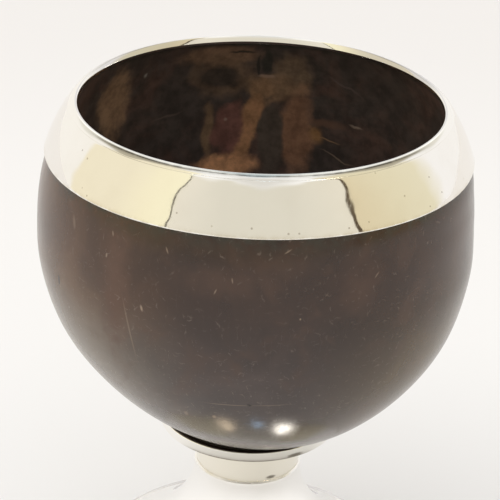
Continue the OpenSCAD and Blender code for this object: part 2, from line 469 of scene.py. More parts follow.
@cache
def sliver_effect() -> bpy.types.NodeTree:
    """Short slivers, one in some cells of a Voronoi pattern, each with its own turn and length.

    Returns:
        The node group.
    """
    shortest, faintest, edge = 0.3, 0.45, (1.15, 0.35)
    numbers = ("Cell", "Length", "Width", "Lean", "Slant", "Share")
    tree, given, mask = new_group("slivers", ("Skin",), numbers)
    cell = tree.joined(given["Cell"], given["Cell"], given["Cell"])
    grid = tree.vector("DIVIDE", given["Skin"], cell)
    cells = tree.node("TexVoronoi", {"Vector": grid, "Scale": 1.0}, voronoi_dimensions="2D").outputs
    turn_chance, share_chance, size_chance = tree.node("SeparateColor", {0: cells["Color"]}).outputs
    offset = tree.vector("MULTIPLY", tree.vector("SUBTRACT", grid, cells["Position"]), cell)
    turn = tree.math("MULTIPLY_ADD", tree.minus(turn_chance, MIDDLE), given["Slant"], given["Lean"])
    reach = tree.times(given["Length"], tree.plus(shortest, size_chance))
    flat = tree.vector("MULTIPLY", tree.turned(offset, turn, Axis.Z), (1.0, 1.0, 0.0))
    drawn = tree.vector("DIVIDE", flat, tree.joined(given["Width"], reach, 1.0))
    body = tree.span(tree.vector("LENGTH", drawn), edge)
    lit = tree.times(body, tree.math("LESS_THAN", share_chance, given["Share"]))
    tree.feed(mask, tree.times(lit, tree.span(size_chance, (0.0, 1.0), (faintest, 1.0))))
    return tree.tree


@cache
def scratch_effect() -> bpy.types.NodeTree:
    """Hair scratches that cross: where noise, drawn out along three turned directions, is at its middle.

    Returns:
        The node group.
    """
    directions = ((0.4, 0.2), (1.5, -0.35), (2.6, 0.6))
    draw, slant, width = (1.0, 1.0, 0.03), 0.3, 0.012
    tree, given, mask = new_group("hair_scratches", ("Place",), ("Scale",))
    total: Any = 0.0
    for turn, lean in directions:
        inputs = {"Vector": given["Place"], "Rotation": (lean, turn, slant), "Scale": draw}
        noise = tree.noise(tree.node("Mapping", inputs).outputs[0], Grain(given["Scale"], 1.0))
        total = tree.greater(total, tree.span(tree.away(noise, MIDDLE), (width, 0.0)))
    tree.feed(mask, total)
    return tree.tree


@cache
def film_effect() -> bpy.types.NodeTree:
    """Dull film that gathers towards one height on a piece and lies in patches elsewhere.

    Returns:
        The node group.
    """
    gap, gap_span = Grain(0.5, 3.0), (0.65, 0.3)
    patch, patch_span = Grain(0.09, 3.0, 0.55), (0.42, 0.75)
    tree, given, mask = new_group("dull_film", ("Place",), ("Height", "Reach", "Gaps", "Patches"))
    away = tree.away(tree.axes(given["Place"])[2], given["Height"])
    near = tree.math("EXPONENT", tree.math("DIVIDE", tree.times(away, -1.0), given["Reach"]))
    thin = tree.times(given["Gaps"], tree.span(tree.noise(given["Place"], gap), gap_span))
    patches = tree.times(given["Patches"], tree.span(tree.noise(given["Place"], patch), patch_span))
    tree.feed(mask, tree.math("ADD", tree.times(near, tree.minus(1.0, thin)), patches, clamp=True))
    return tree.tree


def scratch_mask(tree: Tree, place: Socket, scale: float) -> Socket:
    """Mask of hair scratches on a piece."""
    return tree.mask(scratch_effect(), {"Place": place, "Scale": scale})


@dataclass(frozen=True)
class Film:
    """A dull film that gathers towards one height, with gaps there and patches elsewhere as shares.

    Where y is given, the film fades in over that span of Y.
    """

    height: float = 0.0
    reach: float = 0.6
    patches: float = 0.12
    gaps: float = 1.0
    colour: Colour = (0.62, 0.54, 0.40)
    strength: float = 0.6
    rough: float = 0.12
    y: Span | None = None

    def mask(self, tree: Tree, place: Socket) -> Socket:
        """Lays the film on a piece.

        Args:
            tree: The material's tree.
            place: Place on the piece in millimetres.

        Returns:
            Its mask, from 0 to 1.
        """
        inputs = {"Place": place, "Height": self.height, "Reach": self.reach}
        mask = tree.mask(film_effect(), inputs | {"Gaps": self.gaps, "Patches": self.patches})
        return mask if self.y is None else tree.times(mask, tree.span(tree.axes(place)[1], self.y))

    def over(self, tree: Tree, mask: Socket, colour: Any) -> Socket:
        """A colour with the film over it, where its mask says."""
        return tree.mix(tree.times(mask, self.strength), colour, self.colour)


@dataclass(frozen=True)
class Spot:
    """A patch, line, pit or speck at one place on a surface."""

    centre: Place
    radii: Place
    colour: Colour
    strength: float = 1.0
    feather: float = 0.35
    turn: float = 0.0

    def mask(self, tree: Tree, place: Socket, ragged: Socket | float = 0.0) -> Socket:
        """Lays the spot on a piece.

        Args:
            tree: The material's tree.
            place: Place on the piece in millimetres.
            ragged: What makes its edge uneven.

        Returns:
            Its mask, from 0 to its strength.
        """
        inputs = {"Place": place, "Centre": self.centre, "Radii": self.radii, "Ragged": ragged}
        inputs |= {"Turn": math.radians(self.turn), "Feather": self.feather}
        return tree.times(tree.mask(spot_effect(), inputs), self.strength)


def spots(colour: Colour, feather: float, *rows: tuple[Place, Place, float, float]) -> tuple[Spot, ...]:
    """Spots of one colour and feather, from rows of centre, radii, strength and turn."""
    return tuple(Spot(centre, radii, colour, share, feather, turn) for centre, radii, share, turn in rows)


def mark(tree: Tree, colour: Any, marks: tuple[Spot, ...], place: Socket, ragged: Any = 0.0) -> Any:
    """Lays spots over a colour.

    Args:
        tree: The material's tree.
        colour: Colour below them.
        marks: The spots, in order.
        place: Place on the piece in millimetres.
        ragged: What makes their edges uneven.

    Returns:
        The colour with the spots on it.
    """
    for spot in marks:
        colour = tree.mix(spot.mask(tree, place, ragged), colour, spot.colour)
    return colour


# Finishes


@dataclass(frozen=True)
class Finish:
    """A finish: a named material, with a relief of some depth in millimetres."""

    name: str
    relief: float = 0.0

    def surface(self, tree: Tree, place: Socket) -> Surface:
        """Works out the surface, each kind of finish in its own way.

        Args:
            tree: The material's tree.
            place: Place on the piece in millimetres.

        Returns:
            Inputs of the Principled shader, and the height of the relief where there is one.
        """
        raise NotImplementedError

    def material(self) -> bpy.types.Material:
        """Builds the material, which ends in a Principled shader with a bump for the relief.

        Returns:
            The material.
        """
        material = bpy.data.materials.new(self.name)
        material.use_nodes = True
        material.node_tree.nodes.clear()
        tree = Tree(material.node_tree)
        inputs, height = self.surface(tree, tree.place())
        if height is not None:
            bump = {"Height": height, "Strength": 1.0, "Distance": self.relief * MM}
            inputs["Normal"] = tree.node("Bump", bump).outputs["Normal"]
        shader = tree.node("BsdfPrincipled", inputs)
        tree.node("OutputMaterial", {"Surface": shader.outputs["BSDF"]})
        return material


@dataclass(frozen=True)
class Slivers:
    """Fibre slivers of one size in millimetres, whose lean and slant are radians."""

    cell: float
    length: float
    width: float
    slant: float
    share: float
    strength: float = 1.0
    lean: float = 0.0

    def mask(self, tree: Tree, skin: Socket) -> Socket:
        """Strews the slivers over a skin.

        Args:
            tree: The material's tree.
            skin: Place on the skin in millimetres.

        Returns:
            Their mask, from 0 to their strength.
        """
        inputs = {"Skin": skin, "Cell": self.cell, "Length": self.length, "Width": self.width}
        inputs |= {"Lean": self.lean, "Slant": self.slant, "Share": self.share}
        return tree.times(tree.mask(sliver_effect(), inputs), self.strength)


@dataclass(frozen=True)
class OuterFinish(Finish):
    """Polished outside of the nut: dark brown, paler and cooler below as a painted sheen, lighter on the left
    as painted light, with pale slivers of fibre and a few marks.
    """

    name: str = "polished_nut"
    relief: float = 0.02
    rough: Span = (0.17, 0.24)
    ior: float = 1.54
    upper: tuple[Colour, Colour] = ((0.0200, 0.0076, 0.0034), (0.0350, 0.0145, 0.0070))
    # The paler, cooler lower browns are a painted sheen on the lower part of the nut.
    lower: tuple[Colour, Colour] = ((0.054, 0.040, 0.038), (0.080, 0.060, 0.057))
    sheen_z: Span = (95.0, 65.0)
    cloud: Grain = Grain(0.045, 4.0, 0.6, 0.6)
    cloud_span: Span = (0.32, 0.68)
    side_x: Span = (8.0, 42.0)
    # The left gain lightens the left side: painted light from that side.
    painted_left_light: Colour = (3.1, 3.5, 2.9)
    right_gain: Colour = (1.4, 1.12, 0.25)
    # Painted shade on the nut just under the band.
    band_shade: Film = Film(106.0, 1.7, 0.0, 1.0, (0.034, 0.031, 0.022), 1.0)
    skin_size: Place = (301.6, 232.0, 1.0)
    warp: Grain = Grain(0.8)
    bend: float = 1.5
    fibre: Grain = Grain(1.6, 3.0, 0.6)
    fibre_draw: Place = (1.0, 0.09, 1.0)
    fibre_span: Span = (0.25, 0.75)
    fibre_relief: float = 0.12
    scratch_scale: float = 0.9
    scratch_rough: float = 0.05
    sliver: Colour = (0.23, 0.180, 0.150)
    sliver_relief: float = 0.4
    strewn: tuple[Slivers, ...] = (
        Slivers(2.0, 0.5, 0.15, 3.0, 0.6, 0.27),
        Slivers(3.3, 0.65, 0.17, 2.4, 0.5, 0.38),
        Slivers(7.5, 0.9, 0.19, 2.0, 0.5, 0.45),
    )
    lying: Slivers = Slivers(2.7, 0.8, 0.14, 0.9, 0.6, lean=1.57)
    lying_z: Span = (98.0, 86.0)
    lying_share: Span = (0.06, 0.36)
    crowd: Grain = Grain(0.06, 1.0)
    crowd_span: Span = (0.3, 0.6)
    crowd_share: Span = (0.35, 1.0)
    broken: Grain = Grain(2.2)
    broken_span: Span = (0.35, 0.55)
    broken_share: Span = (0.3, 1.0)
    red: Colour = (0.092, 0.043, 0.023)
    flush: Grain = Grain(0.085, 3.0, 0.55, 1.0)
    flush_span: Span = (0.5, 0.75)
    flush_share: Span = (0.0, 0.35)
    edge: Grain = Grain(0.4, 3.0)
    edge_gain: float = 1.4
    blushes: tuple[Spot, ...] = spots(
        red,
        0.9,
        ((-28.0, -38.5, 91.0), (2.6, 6.0, 13.0), 0.95, 0.0),
        ((-6.5, -47.0, 97.2), (6.5, 5.0, 2.6), 0.4, 0.0),
        ((21.3, -42.8, 94.0), (3.6, 5.0, 4.2), 0.4, 0.0),
        ((5.0, -46.6, 101.0), (6.0, 5.0, 2.4), 0.4, 0.0),
    )
    streaks: tuple[Spot, ...] = spots(
        (0.29, 0.210, 0.155),
        0.6,
        ((-24.9, -40.4, 82.4), (0.14, 5.0, 5.8), 0.38, 12.0),
        ((-4.4, -43.0, 67.4), (4.2, 5.0, 0.11), 0.45, 3.0),
        ((4.0, -43.0, 67.9), (4.0, 5.0, 0.09), 0.35, 3.0),
        ((-7.2, -39.8, 62.6), (0.4, 3.0, 0.5), 0.6, 0.0),
        ((-13.1, -37.6, 61.9), (0.35, 3.0, 0.6), 0.4, 20.0),
        ((-37.2, -28.8, 100.6), (0.25, 3.0, 1.2), 0.3, 4.0),
        ((-22.4, -42.5, 88.5), (0.22, 3.0, 0.6), 0.9, 14.0),
        ((-29.9, -36.9, 97.3), (0.16, 3.0, 0.42), 0.7, -8.0),
        ((-28.6, -37.0, 102.2), (0.13, 3.0, 0.45), 0.6, 5.0),
        ((-17.4, -43.4, 102.0), (0.14, 3.0, 0.6), 0.6, 20.0),
        ((-7.6, -47.1, 95.2), (0.13, 3.0, 0.55), 0.6, -25.0),
        ((-4.3, -47.3, 97.8), (0.13, 3.0, 0.5), 0.6, 10.0),
        ((6.4, -45.9, 103.9), (0.14, 3.0, 0.7), 0.6, -58.0),
        ((9.4, -47.0, 89.8), (0.15, 3.0, 0.2), 0.9, 0.0),
        ((24.4, -40.8, 97.1), (0.13, 3.0, 0.6), 0.5, -35.0),
    )
    nicks: tuple[Spot, ...] = spots(
        (0.008, 0.006, 0.005),
        0.5,
        ((-40.9, -25.1, 85.4), (0.3, 0.35, 1.1), 0.9, 0.0),
        ((0.0, -43.4, 67.8), (0.45, 3.0, 0.3), 0.8, 0.0),
    )

    def ground(self, tree: Tree, place: Socket) -> Socket:
        """Plain nut: two browns in clouds, warmer above, paler and cooler below as a painted sheen, lighter
        on the left as painted light from that side, and redder on the right.

        Args:
            tree: The material's tree.
            place: Place on the piece in millimetres.

        Returns:
            Its colour.
        """
        x, _, z = tree.axes(place)
        share = tree.span(tree.noise(place, self.cloud), self.cloud_span)
        # Share of the lower browns, which are a painted sheen.
        sheen = tree.span(z, self.sheen_z)
        colour = tree.mix(sheen, tree.mix(share, *self.upper), tree.mix(share, *self.lower))
        # The left gain is painted light; the right gain makes the right side redder.
        for side, gain in ((-1.0, self.painted_left_light), (1.0, self.right_gain)):
            colour = tree.mix(tree.span(tree.times(x, side), self.side_x), colour, gain, Blend.TINT)
        return colour

    def slivers(self, tree: Tree, skin: Socket, place: Socket) -> Socket:
        """Fibre slivers of all sizes, crowded in some places, with more lying ones lower down.

        Args:
            tree: The material's tree.
            skin: Place on the skin in millimetres.
            place: Place on the piece in millimetres.

        Returns:
            Their mask.
        """
        level = tree.span(tree.axes(place)[2], self.lying_z, self.lying_share)
        total = tree.times(self.lying.mask(tree, skin), level)
        for slivers in self.strewn:
            total = tree.greater(total, slivers.mask(tree, skin))
        crowd = tree.span(tree.noise(place, self.crowd), self.crowd_span, self.crowd_share)
        broken = tree.span(tree.noise(place, self.broken), self.broken_span, self.broken_share)
        return tree.times(total, tree.times(crowd, broken))

    def blush(self, tree: Tree, place: Socket) -> Socket:
        """Red blush, faint all over and stronger at set places.

        Args:
            tree: The material's tree.
            place: Place on the piece in millimetres.

        Returns:
            Its mask.
        """
        total = tree.span(tree.noise(place, self.flush), self.flush_span, self.flush_share)
        ragged = tree.ragged(place, self.edge, self.edge_gain)
        for spot in self.blushes:
            total = tree.greater(total, spot.mask(tree, place, ragged))
        return total

    def surface(self, tree: Tree, place: Socket) -> Surface:
        """Ground, blush, a painted shade under the band, slivers and marks, with a gloss that fibres and
        scratches break.

        Args:
            tree: The material's tree.
            place: Place on the piece in millimetres.

        Returns:
            Inputs of the Principled shader, and the height of the relief.
        """
        skin = tree.shifted(tree.skin(self.skin_size), place, self.warp, self.bend)
        fibre = tree.noise(tree.vector("MULTIPLY", skin, self.fibre_draw), self.fibre)
        slivers = self.slivers(tree, skin, place)
        colour = tree.mix(self.blush(tree, place), self.ground(tree, place), self.red)
        # Darkens the nut just under the band: painted shade.
        colour = self.band_shade.over(tree, self.band_shade.mask(tree, place), colour)
        colour = tree.mix(slivers, colour, self.sliver)
        colour = mark(tree, colour, self.streaks + self.nicks, place)
        scratches = tree.times(scratch_mask(tree, place, self.scratch_scale), self.scratch_rough)
        gloss = tree.plus(tree.span(fibre, self.fibre_span, self.rough), scratches)
        height = tree.minus(tree.times(fibre, self.fibre_relief), tree.times(slivers, self.sliver_relief))
        return {"Base Color": colour, "Roughness": gloss, "IOR": self.ior}, height


@dataclass(frozen=True)
class InnerFinish(Finish):
    """Scraped and stained inside of the nut: near black, with brown patches where the fibre shows."""

    name: str = "stained_nut"
    relief: float = 0.04
    rough: Span = (0.32, 0.5)
    ior: float = 1.45
    dark: Colour = (0.068, 0.054, 0.049)
    warm: Colour = (0.106, 0.064, 0.053)
    cloud: Grain = Grain(0.07, 4.0, 0.6, 0.8)
    cloud_span: Span = (0.4, 0.7)
    warp: Grain = Grain(0.16, 3.0)
    bend: float = 3.0
    edge: Grain = Grain(0.28, 4.0, 0.6)
    edge_gain: float = 1.0
    speckle: Grain = Grain(0.3, 5.0, 0.65)
    speckle_gain: Span = (0.7, 1.3)
    pores: Grain = Grain(0.8, 3.0)
    patches: tuple[Spot, ...] = (
        Spot((-33.8, 27.1, 105.3), (3.8, 6.0, 8.8), (0.32, 0.20, 0.125), 0.85, 0.4),
        Spot((-10.1, 39.5, 113.4), (8.8, 8.0, 3.0), (0.24, 0.145, 0.096), 0.9, 0.4),
        Spot((-9.0, 41.5, 107.5), (7.4, 8.0, 5.4), (0.19, 0.12, 0.078), 0.8, 0.4),
        Spot((6.8, 42.0, 108.0), (4.2, 8.0, 5.6), (0.20, 0.135, 0.09), 0.85, 0.4),
        Spot((2.5, 43.3, 104.0), (6.0, 8.0, 3.4), (0.25, 0.155, 0.095), 0.9, 0.4),
        Spot((0.3, 43.7, 102.5), (2.4, 8.0, 3.8), (0.31, 0.18, 0.103), 0.9, 0.4),
        Spot((-2.3, 44.4, 96.8), (2.2, 8.0, 4.8), (0.38, 0.20, 0.105), 0.95, 0.3, -20.0),
        Spot((-4.2, 44.6, 90.8), (2.5, 8.0, 4.8), (0.44, 0.23, 0.120), 0.95, 0.3, -18.0),
        Spot((8.6, 43.9, 93.0), (3.9, 8.0, 10.5), (0.285, 0.15, 0.092), 0.9, 0.35),
        Spot((-12.4, 43.0, 93.3), (1.1, 8.0, 6.8), (0.26, 0.165, 0.098), 0.8, 0.4),
        Spot((-8.4, 43.8, 83.8), (7.6, 8.0, 3.0), (0.68, 0.35, 0.185), 0.95, 0.35, 6.0),
        Spot((-7.8, 44.0, 93.6), (3.5, 8.0, 6.7), (0.19, 0.088, 0.073), 0.97, 0.22, -8.0),
        Spot((-10.0, 41.6, 107.3), (5.0, 8.0, 3.3), (0.055, 0.042, 0.035), 0.95, 0.35),
        Spot((2.4, 44.7, 91.0), (2.9, 8.0, 9.6), (0.092, 0.071, 0.058), 0.97, 0.22),
        Spot((1.1, 41.4, 111.6), (1.0, 6.0, 3.8), (0.045, 0.04, 0.034), 0.95, 0.3),
        Spot((13.4, 42.6, 93.2), (1.4, 6.0, 2.2), (0.36, 0.19, 0.08), 0.75, 0.6),
        # This last patch darkens a ring round the top of the inside, just under the lip.
        Spot((0.0, 0.0, 117.0), (60.0, 60.0, 1.3), (0.035, 0.036, 0.029), 0.8, 0.4),
    )
    marks: tuple[Spot, ...] = (
        Spot((16.4, 41.6, 92.3), (2.4, 6.0, 0.22), (0.34, 0.21, 0.12), 0.8, 0.6, -4.0),
        Spot((18.4, 40.8, 87.8), (3.8, 6.0, 0.22), (0.28, 0.21, 0.16), 0.7, 0.6, -17.0),
        Spot((22.8, 38.2, 97.0), (1.2, 6.0, 0.28), (0.34, 0.26, 0.21), 0.8, 0.6, -8.0),
        Spot((15.3, 41.8, 96.6), (4.2, 6.0, 0.9), (0.20, 0.11, 0.075), 0.6, 0.6),
        Spot((19.4, 38.1, 107.4), (3.6, 6.0, 0.25), (0.17, 0.13, 0.12), 0.5, 0.7, -28.0),
        Spot((-22.0, 38.6, 97.9), (3.5, 6.0, 0.25), (0.17, 0.13, 0.11), 0.5, 0.7, 10.0),
        Spot((-4.6, 40.1, 114.2), (2.7, 6.0, 0.35), (0.035, 0.03, 0.025), 0.9, 0.4),
        Spot((-0.7, 42.0, 110.2), (0.35, 6.0, 3.2), (0.035, 0.03, 0.025), 0.9, 0.4),
        Spot((0.9, 42.9, 107.0), (1.6, 6.0, 0.5), (0.40, 0.27, 0.21), 0.7, 0.5),
        Spot((-26.9, 32.2, 110.3), (0.45, 0.6, 0.5), (0.4, 0.37, 0.35), 0.7, 0.7),
        Spot((-8.1, 43.8, 95.8), (0.45, 3.0, 0.45), (0.38, 0.28, 0.24), 0.7, 0.7),
    )

    def surface(self, tree: Tree, place: Socket) -> Surface:
        """Dark clouds, patches with ragged edges, speckle and marks, with a gloss that follows the clouds.

        Args:
            tree: The material's tree.
            place: Place on the piece in millimetres.

        Returns:
            Inputs of the Principled shader, and the height of the relief.
        """
        bent = tree.shifted(place, place, self.warp, self.bend)
        cloud = tree.noise(place, self.cloud)
        colour = tree.mix(tree.span(cloud, self.cloud_span), self.dark, self.warm)
        colour = mark(tree, colour, self.patches, bent, tree.ragged(place, self.edge, self.edge_gain))
        speckle = tree.span(tree.noise(place, self.speckle), MOST, self.speckle_gain)
        colour = tree.mix(1.0, colour, tree.joined(speckle, speckle, speckle), Blend.TINT)
        colour = mark(tree, colour, self.marks, bent)
        gloss = tree.span(cloud, MOST, self.rough)
        return {"Base Color": colour, "Roughness": gloss, "IOR": self.ior}, tree.noise(place, self.pores)


@dataclass(frozen=True)
class SilverFinish(Finish):
    """Polished old silver with hair scratches, a dull film, and patches of painted shade and pits where they
    are set.
    """

    relief: float = 0.004
    rough: Span = (0.02, 0.06)
    bright: Colour = (0.955, 0.935, 0.89)
    film: Film = Film()
    cloud: Grain = Grain(0.12, 3.0)
    scratch_scale: float = 0.55
    scratch_rough: float = 0.04
    scratch_relief: float = 0.04
    edge: Grain = Grain(3.0)
    edge_gain: float = 0.8
    # Darker patches of painted shade, laid under the film.
    painted_shades: tuple[Spot, ...] = ()
    pits: tuple[Spot, ...] = ()

    def surface(self, tree: Tree, place: Socket) -> Surface:
        """Bright metal with painted shade in places, film, scratches and sunk pits.

        Args:
            tree: The material's tree.
            place: Place on the piece in millimetres.

        Returns:
            Inputs of the Principled shader, and the height of the relief.
        """
        film = self.film.mask(tree, place)
        # Patches of painted shade darken the metal where they are set.
        colour = mark(tree, self.bright, self.painted_shades, place)
        colour = self.film.over(tree, film, colour)
        scratches = scratch_mask(tree, place, self.scratch_scale)
        gloss = tree.span(tree.noise(place, self.cloud), MOST, self.rough)
        gloss = tree.plus(gloss, tree.times(film, self.film.rough))
        gloss = tree.plus(gloss, tree.times(scratches, self.scratch_rough))
        height = tree.times(scratches, -self.scratch_relief)
        ragged = tree.ragged(place, self.edge, self.edge_gain)
        for pit in self.pits:
            height = tree.minus(height, pit.mask(tree, place, ragged))
        colour = mark(tree, colour, self.pits, place, ragged)
        return {"Base Color": colour, "Metallic": 1.0, "Roughness": gloss}, height


@dataclass(frozen=True)
class PitchFinish(Finish):
    """Black pitch, poured and set: near black, with a dull broken skin."""

    name: str = "black_pitch"
    relief: float = 0.08
    rough: Span = (0.35, 0.7)
    colours: tuple[Colour, Colour] = ((0.060, 0.052, 0.042), (0.110, 0.095, 0.075))
    cloud: Grain = Grain(0.9, 4.0, 0.6)

    def surface(self, tree: Tree, place: Socket) -> Surface:
        """Clouds of two blacks, rougher and higher where paler.

        Args:
            tree: The material's tree.
            place: Place on the piece in millimetres.

        Returns:
            Inputs of the Principled shader, and the height of the relief.
        """
        cloud = tree.noise(place, self.cloud)
        colour = tree.mix(tree.span(cloud, MOST), *self.colours)
        return {"Base Color": colour, "Roughness": tree.span(cloud, MOST, self.rough)}, cloud


@dataclass(frozen=True)
class LeatherFinish(Finish):
    """Oiled leather washer: brown, with a pebbled grain that is darker in its hollows."""

    name: str = "oiled_leather"
    relief: float = 0.12
    rough: Span = (0.45, 0.65)
    colours: tuple[Colour, Colour] = ((0.075, 0.036, 0.018), (0.17, 0.09, 0.045))
    hollow: Colour = (0.04, 0.02, 0.012)
    hollow_span: Span = (0.1, 0.5)
    hollow_share: Span = (0.0, 0.35)
    pebble_scale: float = 1.8
    cloud: Grain = Grain(0.5, 4.0)

    def surface(self, tree: Tree, place: Socket) -> Surface:
        """Clouds of two browns under the cells of a Voronoi pattern.

        Args:
            tree: The material's tree.
            place: Place on the piece in millimetres.

        Returns:
            Inputs of the Principled shader, and the height of the relief.
        """
        inputs = {"Vector": place, "Scale": self.pebble_scale}
        cells = tree.node("TexVoronoi", inputs).outputs["Distance"]
        cloud = tree.noise(place, self.cloud)
        colour = tree.mix(tree.span(cloud, MOST), *self.colours)
        colour = tree.mix(tree.span(cells, self.hollow_span, self.hollow_share), colour, self.hollow)
        return {"Base Color": colour, "Roughness": tree.span(cloud, MOST, self.rough)}, cells


@dataclass(frozen=True)
class BrassFinish(Finish):
    """Turned brass gone dull: yellow brown, with turning lines and darker stains."""

    name: str = "dulled_brass"
    relief: float = 0.012
    rough: Span = (0.22, 0.36)
    bright: Colour = (0.74, 0.55, 0.27)
    film: Film = Film(35.2, 0.7, 0.7, 0.0, (0.26, 0.17, 0.085), 1.0, 0.2)
    turning: Grain = Grain(1.5, 3.0)
    turning_draw: Place = (0.2, 0.2, 6.0)
    scratch_scale: float = 1.6

    def surface(self, tree: Tree, place: Socket) -> Surface:
        """Brass under its film, with noise drawn out round the axis for the turning lines.

        Args:
            tree: The material's tree.
            place: Place on the piece in millimetres.

        Returns:
            Inputs of the Principled shader, and the height of the relief.
        """
        film = self.film.mask(tree, place)
        colour = self.film.over(tree, film, self.bright)
        turning = tree.noise(tree.vector("MULTIPLY", place, self.turning_draw), self.turning)
        gloss = tree.plus(tree.span(turning, MOST, self.rough), tree.times(film, self.film.rough))
        height = tree.minus(turning, scratch_mask(tree, place, self.scratch_scale))
        return {"Base Color": colour, "Metallic": 1.0, "Roughness": gloss}, height


@dataclass(frozen=True)
class FloorFinish(Finish):
    """Pale matt floor, a little darker farther back as painted shade."""

    name: str = "pale_floor"
    near: Colour = (0.790, 0.790, 0.805)
    # The darker far colour is painted shade.
    far: Colour = (0.725, 0.715, 0.725)
    y: Span = (60.0, 420.0)
    rough: float = 0.95

    def surface(self, tree: Tree, place: Socket) -> Surface:
        """Colour that changes with the distance from the cup, without gloss or relief.

        Args:
            tree: The material's tree.
            place: Place on the floor in millimetres.

        Returns:
            Inputs of the Principled shader, and no height.
        """
        colour = tree.mix(tree.span(tree.axes(place)[1], self.y), self.near, self.far)
        return {"Base Color": colour, "Roughness": self.rough, "Specular IOR Level": 0.0}, None


# Sub-assemblies


def fit(name: str, grid: np.ndarray, finish: Finish, slot: Slot, node: str, closed: bool = True) -> None:
    """Makes a piece, gives it its finish and puts it on the cup in place of a CAD node.

    Args:
        name: Name of the piece.
        grid: Its points, as ring_mesh takes them.
        finish: Its finish.
        slot: Material slot that the finish belongs to.
        node: CAD node that it stands for.
        closed: Whether its rows close into a loop.
    """
    piece = ring_mesh(name, grid, closed)
    dress(piece, finish.material())
    seat(piece, slot, node)


def bulge(share: np.ndarray | float, power: float) -> np.ndarray:
    """Power curve (1 - share^power)^(1/power), and 0 past a share of 1."""
    return np.clip(1.0 - share**power, 0.0, 1.0) ** (1.0 / power)


@dataclass(frozen=True)
class NutCurve:
    """Outline of the nut: a power curve above its belly and another below it.

    The radius is (belly + grow) times (1 - (d / (depth + grow))^n)^(1/n), where d is the height
    from the belly and depth and n belong to the shoulder or to the base.
    """

    belly_r: float = 48.0
    belly_z: float = 86.6
    shoulder_h: float = 44.0
    shoulder_n: float = 2.6
    base_h: float = 48.9
    base_n: float = 1.86
    wall: float = 3.2
    mouth_z: float = 116.7
    mouth_wall: float = 1.0

    @property
    def mouth_r(self) -> float:
        """Radius of the bowl's inside at the mouth."""
        return float(self.radius(self.mouth_z)) - self.mouth_wall

    @property
    def bowl_r(self) -> float:
        """Radius of the bowl's inside at the belly."""
        return self.belly_r - self.wall

    def radius(self, z: np.ndarray | float, grow: np.ndarray | float = 0.0) -> np.ndarray:
        """Radius of the outside.

        Args:
            z: Heights.
            grow: Growth of the outline there.

        Returns:
            The radii.
        """
        d = np.abs(z - self.belly_z)
        above = bulge(d / (self.shoulder_h + grow), self.shoulder_n)
        below = bulge(d / (self.base_h + grow), self.base_n)
        return (self.belly_r + grow) * np.where(z > self.belly_z, above, below)

    def base(self, start: float, end: float, grow: float, count: int) -> np.ndarray:
        """Stretch of the base between two radii, evenly spaced in the curve's own angle.

        Args:
            start: First radius.
            end: Last radius.
            grow: Growth of the outline.
            count: Number of points.

        Returns:
            Rows of radius and height.
        """
        size, depth, power = self.belly_r + grow, self.base_h + grow, 2.0 / self.base_n
        first, last = (math.acos(min(1.0, (r / size) ** (1.0 / power))) for r in (start, end))
        a = np.linspace(first, last, count)
        return np.stack([size * np.cos(a) ** power, self.belly_z - depth * np.sin(a) ** power], -1)

    def base_height(self, r: float, grow: float = 0.0) -> float:
        """Height of the base at a radius, with the outline grown outward."""
        return float(self.base(r, r, grow, 1)[0, 1])

    def shoulder(self, count: int) -> np.ndarray:
        """Outside of the shoulder from the belly up to the mouth, as rows of radius and height."""
        z = np.linspace(self.belly_z, self.mouth_z, count)
        return np.stack([self.radius(z), z], -1)

    def bowl(self, count: int) -> np.ndarray:
        """Inside of the shoulder from the mouth down to the belly, along a power curve of its own.

        Args:
            count: Number of points.

        Returns:
            Rows of radius and height.
        """
        depth = (self.mouth_z - self.belly_z) / bulge(self.mouth_r / self.bowl_r, self.shoulder_n)
        z = np.linspace(self.mouth_z, self.belly_z, count)
        return np.stack([self.bowl_r * bulge((z - self.belly_z) / depth, self.shoulder_n), z], -1)


